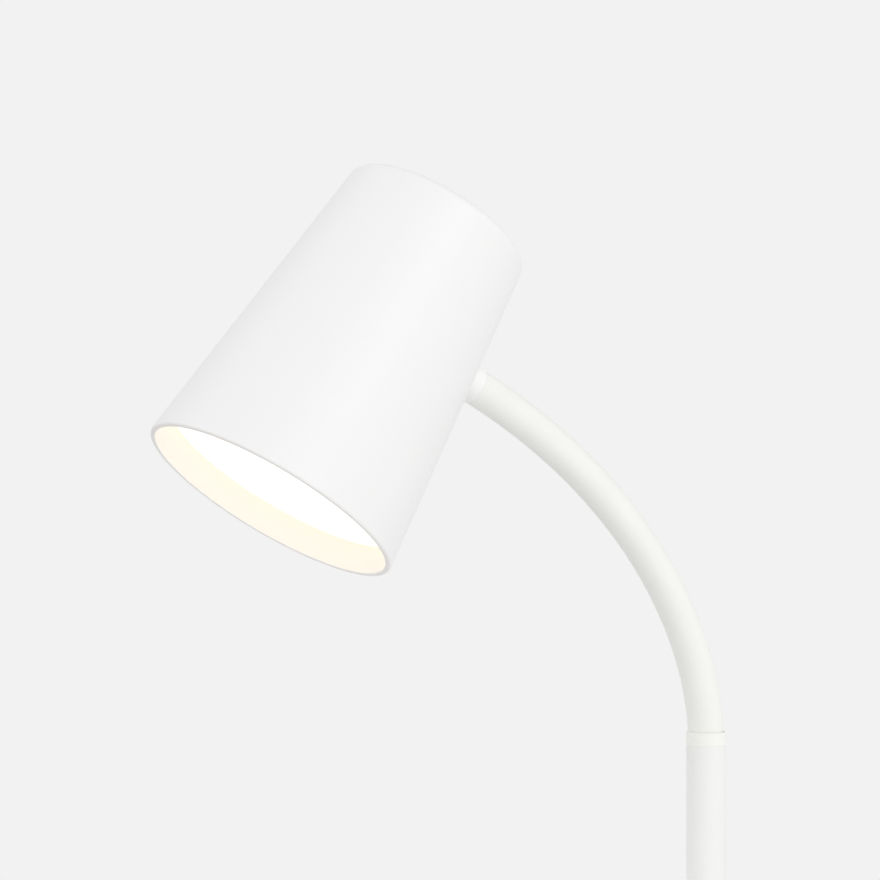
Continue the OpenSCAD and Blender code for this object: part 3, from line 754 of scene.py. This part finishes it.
def cut(mesh: bpy.types.Mesh, *tools: bpy.types.Mesh) -> bpy.types.Mesh:
    """Takes the tools' shapes out of a mesh.

    Args:
        mesh: the closed mesh to cut.
        tools: closed meshes, which are used up.

    Returns:
        The mesh with its holes.
    """
    block = holder(mesh)
    cutters = [holder(tool) for tool in tools]
    for cutter in cutters:
        modifier = block.modifiers.new("Cut", "BOOLEAN")
        modifier.operation, modifier.solver, modifier.object = "DIFFERENCE", "EXACT", cutter
    result = settled(block)
    for tool in tools:
        bpy.data.meshes.remove(tool)
    shape = bmesh.new()
    shape.from_mesh(result)
    bmesh.ops.remove_doubles(shape, verts=shape.verts, dist=MERGE)
    bmesh.ops.dissolve_degenerate(shape, edges=shape.edges, dist=MERGE)
    shape.to_mesh(result)
    shape.free()
    return result


def lying(x: float, z: float) -> Matrix:
    """A frame on the XZ plane whose Z points along +X."""
    return Matrix.Translation((x * MM, 0.0, z * MM)) @ Matrix.Rotation(math.pi / 2, 4, "Y")


def add_piece(mesh: bpy.types.Mesh, slot: Slot, *nodes: str, body: str | None = None,
              finish: Finish | None = None) -> bpy.types.Object:
    """Puts a finished mesh in the scene.

    Args:
        mesh: the piece's mesh, already in its place. The piece takes its name.
        slot: the material slot whose finish it wears.
        nodes: the frame's nodes that it stands for.
        body: the body that it rides on, or None where it is attached to none.
        finish: a variant of the slot's finish to wear in its place.

    Returns:
        The piece.
    """
    mesh.shade_smooth()
    mesh.set_sharp_from_angle(angle=SHARP_ANGLE)
    mesh.materials.clear()
    mesh.materials.append((finish or FINISHES[slot]).material())
    piece = holder(mesh)
    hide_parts(*nodes)
    if body:
        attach(piece, body)
    log.info("%s: %d faces, %s, on %s", piece.name, len(mesh.polygons), slot.value, body or "a hinge")
    return piece


# ---- things that follow a path ----


@dataclass(frozen=True)
class PathTube:
    """Round stock that follows paths, made by geometry nodes, whole or one stretch of it.

    With a wall it is a tube, closed all round the ends of its wall.
    """

    radius: float
    sides: int
    across: Triple  # a way that is square to the whole path: across its plane, or up a coil's axis
    capped: bool = False
    wall: float = 0.0

    @staticmethod
    def tree() -> bpy.types.NodeTree:
        """Makes the node group the first time it is asked for.

        Returns:
            The node group.
        """
        made = bpy.data.node_groups.get("TubeOnPath")
        if made is not None:
            return made
        made = bpy.data.node_groups.new("TubeOnPath", "GeometryNodeTree")
        kinds = {"Path": "Geometry", "Radius": "Float", "Sides": "Int", "Across": "Vector",
                 "Capped": "Bool", "From": "Float", "To": "Float", "Material": "Material"}
        for name, kind in kinds.items():
            made.interface.new_socket(name, in_out="INPUT", socket_type="NodeSocket" + kind)
        made.interface.new_socket("Tube", in_out="OUTPUT", socket_type="NodeSocketGeometry")
        graph = Graph(made)

        def given(name: str) -> Wire:
            """The wire from one of the group's inputs."""
            return graph.node("NodeGroupInput", {}, {}, name)

        path = graph.node("GeometryNodeMeshToCurve", {}, {"Mesh": given("Path")})
        path = graph.node("GeometryNodeSetCurveNormal", {"mode": "FREE"},
                          {"Curve": path, "Normal": given("Across")})
        run = graph.node("GeometryNodeSplineParameter", {}, {}, "Length")
        path = graph.node("GeometryNodeStoreNamedAttribute", {"data_type": "FLOAT", "domain": "POINT"},
                          {"Geometry": path, "Name": "run", "Value": run})
        hoop = graph.node("GeometryNodeCurvePrimitiveCircle", {"mode": "RADIUS"},
                          {"Resolution": given("Sides"), "Radius": given("Radius")})
        tube = graph.node("GeometryNodeCurveToMesh", {},
                          {"Curve": path, "Profile Curve": hoop, "Fill Caps": given("Capped")})
        run = graph.node("GeometryNodeInputNamedAttribute", {"data_type": "FLOAT"}, {"Name": "run"})
        before = graph.node("FunctionNodeCompare", {"operation": "LESS_THAN"},
                            {0: run, 1: given("From") - SLACK})
        after = graph.node("FunctionNodeCompare", {"operation": "GREATER_THAN"},
                           {0: run, 1: given("To") + SLACK})
        outside = graph.node("FunctionNodeBooleanMath", {"operation": "OR"}, {0: before, 1: after})
        tube = graph.node("GeometryNodeDeleteGeometry", {"domain": "POINT"},
                          {"Geometry": tube, "Selection": outside})
        place = graph.node("GeometryNodeInputPosition", {}, {})
        tube = graph.node("GeometryNodeStoreNamedAttribute",
                          {"data_type": "FLOAT_VECTOR", "domain": "POINT"},
                          {"Geometry": tube, "Name": REST_ATTRIBUTE, "Value": place})
        tube = graph.node("GeometryNodeRealizeInstances", {}, {"Geometry": tube})
        tube = graph.node("GeometryNodeSetMaterial", {}, {"Geometry": tube, "Material": given("Material")})
        graph.node("NodeGroupOutput", {}, {"Tube": tube})
        return made

    def mesh(self, name: str, paths: Sequence[Sequence[Vector]], slot: Slot,
             stretch: Point = (0.0, 1e6)) -> bpy.types.Mesh:
        """Makes the tubes.

        Args:
            name: the mesh's name.
            paths: each path's points, in metres.
            slot: the material slot whose finish they wear.
            stretch: where the wanted part of each path starts and ends, in millimetres. It is all of it
                where this isn't given.

        Returns:
            One mesh with a tube on each path.
        """
        points = [tuple(point) for path in paths for point in path]
        ends = {sum(map(len, paths[:number + 1])) - 1 for number in range(len(paths))}
        edges = [(k, k + 1) for k in range(len(points) - 1) if k not in ends]
        lines = bpy.data.meshes.new(name)
        lines.from_pydata(points, edges, [])
        carrier = holder(lines)
        modifier = carrier.modifiers.new("Tube", "NODES")
        modifier.node_group = self.tree()
        values = {"Radius": self.radius * MM, "Sides": self.sides, "Across": self.across,
                  "Capped": self.capped, "From": stretch[0] * MM, "To": stretch[1] * MM,
                  "Material": FINISHES[slot].material()}
        for key, value in values.items():
            modifier[self.tree().interface.items_tree[key].identifier] = value
        if self.wall:
            shell = carrier.modifiers.new("Wall", "SOLIDIFY")
            shell.thickness, shell.offset, shell.use_even_offset = self.wall * MM, -1.0, True
        return settled(carrier)


# ---- the lamp's sub-assemblies ----


@dataclass(frozen=True)
class Base:
    """The pressed cover over its weight, the ring around the post's foot, and the foam that it stands on."""

    radius: float = 70.0
    top: float = 20.0
    lift: float = 1.0
    wall: float = 1.4
    edge: float = 6.0
    lip: float = 0.45
    nipple: float = 4.2
    post: float = 6.0
    ring: float = 10.0
    ring_height: float = 2.5
    ring_seat: float = 1.0
    ring_chamfer: float = 0.8
    pad_radius: float = 66.0
    pad_height: float = 1.5

    def build(self, switch: "PushSwitch", outlet: "CordOutlet") -> None:
        """Makes the base's pieces.

        Args:
            switch: the switch that the cover has a hole for.
            outlet: the cord's outlet, which has a hole in the cover's side.
        """
        self._cover(switch, outlet)
        rim, seat = self.top + self.ring_height, self.top + self.ring_seat
        add_piece(lathe("foot_ring_look", outline([
            (self.nipple, self.top, 0.0), (self.ring, self.top, 0.15),
            (self.ring, rim - self.ring_chamfer, 0.35), (self.ring - self.ring_chamfer, rim, 0.35),
            (self.post, rim, 0.15), (self.post, seat, 0.0), (self.nipple, seat, 0.0)]), 128),
            Slot.WHITE_PAINT, "foot_ring", body="base")
        add_piece(lathe("foot_pad_look", outline([
            (0.0, 0.0, 0.0), (self.pad_radius, 0.0, 0.5), (self.pad_radius, self.pad_height, 0.2),
            (0.0, self.pad_height, 0.0)]), 192), Slot.FOAM, "foot_pad", body="base")

    def _cover(self, switch: "PushSwitch", outlet: "CordOutlet") -> None:
        """Makes the pressed cover.

        Args:
            switch: the switch to leave a hole for.
            outlet: the outlet to leave a hole for.
        """
        under, inside = self.top - self.wall, self.radius - self.wall
        shell = lathe("base_cover_look", outline([
            (self.nipple, self.top, 0.0), (self.radius, self.top, self.edge),
            (self.radius, self.lift, self.lip), (inside, self.lift, self.lip),
            (inside, under, self.edge - self.wall), (self.nipple, under, 0.0)], FINE), 256)
        over, out = 3.0, 8.0  # how far the cutters pass the cover
        holes = [rod("switch_hole", switch.hole, under - over, self.top + over, switch.place()),
                 rod("outlet_hole", outlet.barrel, -out, out, lying(self.radius, outlet.height))]
        add_piece(cut(shell, *holes), Slot.WHITE_PAINT, "base_cover", body="base")


@dataclass(frozen=True)
class PushSwitch:
    """The push button in its bezel, with its return spring."""

    offset: float = 42.0
    base_top: float = 20.0
    bore: float = 8.2
    hole: float = 9.3
    barrel: float = 9.1
    barrel_end: float = 12.4
    rim: float = 11.0
    rim_height: float = 1.6
    button: float = 8.0
    button_wall: float = 1.3
    button_roof: float = 1.6
    button_skirt: float = 3.6
    rise: float = 2.2
    travel: float = 1.8
    land: float = 1.5
    dish: float = 0.55
    dish_slope: float = 3.2
    stem: float = 2.0
    stem_end: float = 9.4
    spring: float = 3.7
    spring_wire: float = 0.3
    spring_gap: float = 0.05
    spring_turns: int = 5
    spring_points: int = 40  # in one turn

    def place(self) -> Matrix:
        """The switch's frame, Z up its axis and zero at the table."""
        return Matrix.Translation((-self.offset * MM, 0.0, 0.0))

    def build(self) -> None:
        """Makes the bezel, the dished button and the spring."""
        brim = self.base_top + self.rim_height
        add_piece(lathe("switch_bezel_look", outline([
            (self.bore, self.barrel_end, 0.2), (self.barrel, self.barrel_end, 0.2),
            (self.barrel, self.base_top, 0.0), (self.rim, self.base_top, 0.15), (self.rim, brim, 0.6),
            (self.bore, brim, 0.35)]), 128, self.place()), Slot.WHITE_PLASTIC, "switch_bezel", body="base")
        top = brim + self.rise
        roof, skirt = top - self.button_roof, self.base_top - self.button_skirt
        wall, land = self.button - self.button_wall, self.button - self.land
        add_piece(lathe("switch_button_look", outline([
            (0.0, self.stem_end, 0.0), (self.stem, self.stem_end, 0.3), (self.stem, roof, 0.3),
            (wall, roof, 0.4), (wall, skirt, 0.0), (self.button, skirt, 0.2), (self.button, top, 0.7),
            (land, top, 0.4), (land - self.dish_slope, top - self.dish, 3.0), (0.0, top - self.dish, 0.0),
        ], FINE), 128, self.place()), Slot.WHITE_PLASTIC, "switch_button", body="button")
        self._spring(roof)

    def _spring(self, roof: float) -> None:
        """Makes the spring.

        Args:
            roof: the height of the button's roof that it pushes up.
        """
        low = self.barrel_end + self.spring_wire + self.spring_gap
        high = roof - self.spring_wire - self.spring_gap
        steps = self.spring_turns * self.spring_points
        path = []
        for k in range(steps + 1):
            angle, share = math.tau * k / self.spring_points, k / steps
            point = (self.spring * math.cos(angle), self.spring * math.sin(angle), low + (high - low) * share)
            path.append(self.place() @ (Vector(point) * MM))
        stock = PathTube(self.spring_wire, 12, (0.0, 0.0, 1.0), capped=True)
        spring = add_piece(stock.mesh("switch_spring_look", [path], Slot.STEEL), Slot.STEEL,
                           "switch_spring", body="base")
        full = high + self.spring_wire - self.barrel_end
        self.place() @ Vector((0.0, 0.0, self.barrel_end * MM))
        (full - self.travel) / full
        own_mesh(spring)


@dataclass(frozen=True)
class CordOutlet:
    """The collar in the back of the base that the cord would pass through."""

    wall_at: float = 70.0
    height: float = 10.2
    barrel: float = 4.4
    bore: float = 3.1
    flange: float = 5.5
    seat: float = 1.0
    out: float = 1.6
    reach: float = 8.6

    def build(self) -> None:
        """Makes the outlet as one turned piece, bell-mouthed so that it can't chafe the cord."""
        add_piece(lathe("cord_gland_look", outline([
            (self.bore, -self.reach, 0.3), (self.barrel, -self.reach, 0.3), (self.barrel, -self.seat, 0.0),
            (self.flange, -self.seat, 0.0), (self.flange, self.out, 0.5), (self.bore, self.out, 0.9),
        ]), 96, lying(self.wall_at, self.height)), Slot.WHITE_PLASTIC, "cord_gland", body="base")


@dataclass(frozen=True)
class Post:
    """The straight tube and the collar that the neck leaves through."""

    radius: float = 6.0
    wall: float = 1.0
    foot: float = 21.0
    top: float = 225.0
    collar: float = 4.0
    collar_bore: float = 5.65
    screw_drop: float = 9.0
    screw: float = 1.5

    def build(self) -> None:
        """Makes the tube, with its set screw's hole, and the collar."""
        bore = self.radius - self.wall
        tube = lathe("post_tube_look", outline([
            (bore, self.foot, 0.0), (self.radius, self.foot, 0.0), (self.radius, self.top, 0.12),
            (bore, self.top, 0.0)]), 128)
        past = self.radius + 2.0
        hole = rod("screw_hole", self.screw, 0.0, past, lying(0.0, self.top - self.screw_drop), sides=32)
        add_piece(cut(tube, hole), Slot.WHITE_PAINT, "post_tube", body="base", finish=POST_SHADED_PAINT)
        brim = self.top + self.collar
        add_piece(lathe("post_collar_look", outline([
            (self.collar_bore, self.top, 0.0), (self.radius, self.top, 0.12), (self.radius, brim, 0.2),
            (self.collar_bore, brim, 0.08)]), 128), Slot.WHITE_PAINT, "post_collar", body="base",
            finish=COLLAR_LIT_PAINT)


@dataclass(frozen=True)
class Neck:
    """The soft sleeve and the wires in it, one stretch for each hinge, from mid-link to mid-link."""

    line: NeckLine
    sleeve: float = 5.4
    sleeve_wall: float = 0.6
    sleeve_short: float = 5.02  # it ends this far from the shade, against the ferrule
    sleeve_sides: int = 72
    sleeve_step: float = 0.95
    wire: float = 0.7
    wire_cover: float = 0.3
    wire_apart: float = 1.8
    wire_sides: int = 12
    wire_step: float = 1.9

    def build(self) -> None:
        """Makes the stretches, one for each hinge.

        Raises:
            ValueError: where a hinge of the frame is off the neck's line.
        """
        line, across = self.line, (0.0, 1.0, 0.0)
        hinges = [joint for joint in frame["joints"] if joint["type"] == "hinge"]
        middles = [line.hinge(k) + line.pitch / 2 for k in range(1, len(hinges))]
        sleeve_marks = [0.0, *middles, line.length - self.sleeve_short]
        wire_marks = [0.0, *middles, line.length]
        skin = PathTube(self.sleeve, self.sleeve_sides, across, wall=self.sleeve_wall)
        core = PathTube(self.wire, self.wire_sides, across, wall=self.wire_cover)
        skin_path = self._path(sleeve_marks, self.sleeve_step, 0.0)
        core_paths = [self._path(wire_marks, self.wire_step, side * self.wire_apart / 2) for side in (-1, 1)]
        for number, hinge in enumerate(hinges, 1):
            along = line.hinge(number)
            gap = (line.at(along)[0] - Vector(hinge["pos_m"])).length
            if gap > SLACK:
                raise ValueError(f"hinge {number} is {gap / MM:.3f} mm off the neck's line")
            skin_mesh = skin.mesh(f"neck_sleeve_look_{number:02d}", [skin_path], Slot.WHITE_SLEEVE,
                                  (sleeve_marks[number - 1], sleeve_marks[number]))
            core_mesh = core.mesh(f"neck_wires_look_{number:02d}", core_paths, Slot.WIRE_INSULATION,
                                  (wire_marks[number - 1], wire_marks[number]))
            pieces = [add_piece(skin_mesh, Slot.WHITE_SLEEVE, "neck_sleeve"),
                      add_piece(core_mesh, Slot.WIRE_INSULATION, "neck_wires")]
            start, end = (line.at(along + side * line.pitch / 2)[0] for side in (-1, 1))
            for piece in pieces:
                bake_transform(piece)

    def _path(self, marks: Sequence[float], spacing: float, aside: float) -> list[Vector]:
        """Lays a path along the neck.

        Args:
            marks: the distances along the neck that it has a point at.
            spacing: about how far apart its points are.
            aside: how far it runs to the side of the neck's middle.

        Returns:
            Its points, in metres.
        """
        runs = [marks[0]]
        for one, two in zip(marks, marks[1:]):
            count = math.ceil((two - one) / spacing)
            runs += [one + (two - one) * k / count for k in range(1, count + 1)]
        return [self.line.at(run)[0] + Vector((0.0, aside * MM, 0.0)) for run in runs]


@dataclass(frozen=True)
class Shade:
    """The spun shade, its diffuser and the ferrule where the neck comes in."""

    cone: Cone
    line: NeckLine
    wall: float = 1.2
    edge: float = 3.2
    lip: float = 0.72
    hem: float = 1.75
    hem_height: float = 14.0
    hem_turn: float = 1.0
    hem_lip: float = 0.4
    rim_height: float = 0.45
    painted_glow_from: float = 0.5
    diffuser_at: float = 8.5
    diffuser: float = 2.2
    slip: float = 0.25
    shank: float = 4.0
    shank_gap: float = 0.2
    ferrule: float = 5.7
    ferrule_length: float = 5.0
    ferrule_seat: float = 0.8

    def build(self) -> None:
        """Makes the shade, diffuser and ferrule."""
        cone, place, entry = self.cone, self.cone.frame(self.line), self.line.frame(self.line.length)
        inner = cone.length - self.wall
        shell = lathe("shade_shell_look", outline([
            (cone.mouth, 0.0, self.lip), (cone.crown, cone.length, self.edge), (0.0, cone.length, 0.0),
            (0.0, inner, 0.0), (cone.wall(inner, self.wall), inner, self.edge - self.wall),
            (cone.wall(self.hem_height, self.wall), self.hem_height, self.hem_turn),
            (cone.wall(0.0, self.hem), 0.0, self.hem_lip)], FINE), 256, place)
        through = -2.0, 6.0  # past both sides of the wall
        hole = rod("shank_hole", self.shank + self.shank_gap, *through, entry)
        shade = add_piece(cut(shell, hole), Slot.WHITE_PAINT, "shade_shell", body="head")
        self._paint_inside(shade, place.inverted())
        top = self.diffuser_at + self.diffuser
        edge = cone.wall(top, self.wall) - self.slip
        add_piece(lathe("diffuser_look", outline([
            (0.0, self.diffuser_at, 0.0), (edge, self.diffuser_at, 0.5), (edge, top, 0.2), (0.0, top, 0.0),
        ]), 192, place), Slot.OPAL, "diffuser", body="head")
        add_piece(lathe("tip_ferrule_look", outline([
            (self.shank, -self.ferrule_length, 0.1), (self.ferrule, -self.ferrule_length, 0.25),
            (self.ferrule, self.ferrule_seat, 0.0), (self.shank, self.ferrule_seat, 0.0)]), 96, entry),
            Slot.WHITE_PAINT, "tip_ferrule", body="head", finish=FERRULE_LIT_PAINT)

    def _paint_inside(self, shade: bpy.types.Object, to_shade: Matrix) -> None:
        """Paints the shade's inside cream, as painted light for the lamp's warm glow, and its rim paler and
        warmer.

        Args:
            shade: the shade's piece.
            to_shade: the turn from the piece's coordinates to the cone's.
        """
        for finish in (SHADE_INSIDE_PAINTED_GLOW, RIM_PAINT):
            shade.data.materials.append(finish.material())
        # faces inside the shade take the cream paint that stands in for the lamp's warm light: painted light
        painted_glow, rim = 1, 2
        deep = self.wall * 0.8  # a face further into the wall than this is on its inner side
        for face in shade.data.polygons:
            place = to_shade @ face.center / MM
            inside = math.hypot(place.x, place.y) < self.cone.wall(place.z, deep)
            if inside and self.painted_glow_from < place.z < self.cone.length - self.wall / 2:
                face.material_index = painted_glow
            elif place.z < self.rim_height:
                face.material_index = rim


def dress_nodes() -> None:
    """Gives every node of the frame the finish of its slot in the record."""
    slots = {part["node"]: Slot(part["material_slot"]) for part in frame["record"]["subparts"]}
    for name, node in frame["nodes"].items():
        node.data.materials.clear()
        node.data.materials.append(FINISHES[slots[name]].material())
        log.info("%s: %s", name, slots[name].value)


# ---- studio ----


@dataclass(frozen=True)
class Lobe:
    """A side that the room's light is stronger from, or weaker where the strength is below zero."""

    side: Triple
    strength: float
    tightness: float


@dataclass(frozen=True)
class Studio:
    """A pale floor, soft light from above and the right, and the camera."""

    backdrop: float = 0.887
    ambient: float = 0.889
    lobes: tuple[Lobe, ...] = (
        Lobe((-0.157, -0.869, 0.469), 0.666, 4.0), Lobe((-0.6, 0.35, 0.72), 1.012, 8.0),
        Lobe((0.0, 0.0, 1.0), -0.764, 4.0), Lobe((-0.503, -0.864, 0.0), -0.184, 12.0),
        Lobe((-0.641, 0.058, -0.766), -0.402, 3.0), Lobe((-0.648, 0.377, -0.66), -0.488, 8.0))
    key: float = 2.943
    key_size: float = 0.9
    key_at: Triple = (0.35, -1.3, 1.2)
    key_aim: Triple = (-0.05, 0.0, 0.28)
    floor_colour: Colour = (0.92, 0.92, 0.92)
    floor_radius: float = 0.75
    floor_fade: float = 0.12
    floor_margin: float = 0.02
    floor_gap: float = 0.05 * MM
    dust: float = 0.06
    dust_tone: float = 0.99
    camera_at: Triple = (-0.57324, -0.82336, 0.3176)
    camera_way: Triple = (0.50342, 0.86404, 0.0)
    lens: float = 134.673
    sensor: float = 36.0

    def build(self) -> None:
        """Makes the light, the floor and the camera."""
        self._world()
        self._floor()
        self._key()
        self._camera()
        bpy.context.scene.view_settings.view_transform = "Standard"

    def _world(self) -> None:
        """Light from all round, stronger on one side and weaker on another, on an even backdrop."""
        world = bpy.data.worlds.new("Studio")
        world.use_nodes = True
        graph = Graph(world.node_tree)
        towards = graph.node("ShaderNodeTexCoord", {}, {}, "Generated")
        light = self.ambient
        for lobe in self.lobes:
            sockets = {0: towards, 1: tuple(Vector(lobe.side).normalized())}
            facing = graph.node("ShaderNodeVectorMath", {"operation": "DOT_PRODUCT"}, sockets, "Value")
            light = light + lobe.strength * facing.clamped() ** lobe.tightness
        around = graph.node("ShaderNodeBackground", {}, {"Color": (1.0, 1.0, 1.0, 1.0), "Strength": light})
        behind = graph.node("ShaderNodeBackground", {},
                            {"Color": (self.backdrop, self.backdrop, self.backdrop, 1.0)})
        seen = graph.node("ShaderNodeLightPath", {}, {}, "Is Camera Ray")
        both = graph.node("ShaderNodeMixShader", {}, {0: seen, 1: around, 2: behind})
        graph.node("ShaderNodeOutputWorld", {}, {"Surface": both})
        bpy.context.scene.world = world

    def _floor(self) -> None:
        """A matte sheet that fades into the backdrop well before its rim."""
        mesh = bpy.data.meshes.new("floor")
        sheet = bmesh.new()
        bmesh.ops.create_circle(sheet, cap_ends=True, segments=96, radius=self.floor_radius)
        bmesh.ops.translate(sheet, verts=sheet.verts, vec=(0.0, 0.0, -self.floor_gap))
        sheet.to_mesh(mesh)
        sheet.free()
        material = bpy.data.materials.new("StudioFloor")
        material.use_nodes = True
        graph = Graph(material.node_tree)
        reach = graph.node("ShaderNodeVectorMath", {"operation": "LENGTH"}, {0: graph.place()}, "Value")
        width = self.floor_radius - self.floor_fade - self.floor_margin
        share = ((reach - self.floor_fade) * (1.0 / width)).clamped()
        gone = share * share * (3.0 - share * 2.0)
        tone = graph.mix(graph.noise(graph.place(), self.dust), toned(self.floor_colour, self.dust_tone),
                         self.floor_colour)
        matte = graph.node("ShaderNodeBsdfDiffuse", {}, {"Color": tone})
        clear = graph.node("ShaderNodeBsdfTransparent", {}, {})
        both = graph.node("ShaderNodeMixShader", {}, {0: gone, 1: matte, 2: clear})
        graph.node("ShaderNodeOutputMaterial", {}, {"Surface": both})
        mesh.materials.append(material)
        holder(mesh)

    def _key(self) -> None:
        """A large soft lamp up and to the right of the camera."""
        light = bpy.data.lights.new("KeyLight", "AREA")
        light.shape, light.size, light.energy = "DISK", self.key_size, self.key
        lamp = bpy.data.objects.new("KeyLight", light)
        bpy.context.scene.collection.objects.link(lamp)
        lamp.location = self.key_at
        aim = Vector(self.key_aim) - lamp.location
        lamp.rotation_euler = aim.to_track_quat("-Z", "Y").to_euler()

    def _camera(self) -> None:
        """The camera, level, at the height of the shade."""
        lens = bpy.data.cameras.new("Camera")
        lens.lens, lens.sensor_width = self.lens, self.sensor
        camera = bpy.data.objects.new("Camera", lens)
        bpy.context.scene.collection.objects.link(camera)
        camera.location = self.camera_at
        camera.rotation_euler = Vector(self.camera_way).to_track_quat("-Z", "Y").to_euler()
        bpy.context.scene.camera = camera


def main() -> None:
    """Dresses the frame, adds the pieces and lights them."""
    logging.basicConfig(level=logging.INFO, format="%(message)s")
    dress_nodes()
    switch, outlet = PushSwitch(), CordOutlet()
    Base().build(switch, outlet)
    switch.build()
    outlet.build()
    Post().build()
    Neck(LINE).build()
    Shade(CONE, LINE).build()
    Studio().build()


if __name__ == "__main__":
    main()
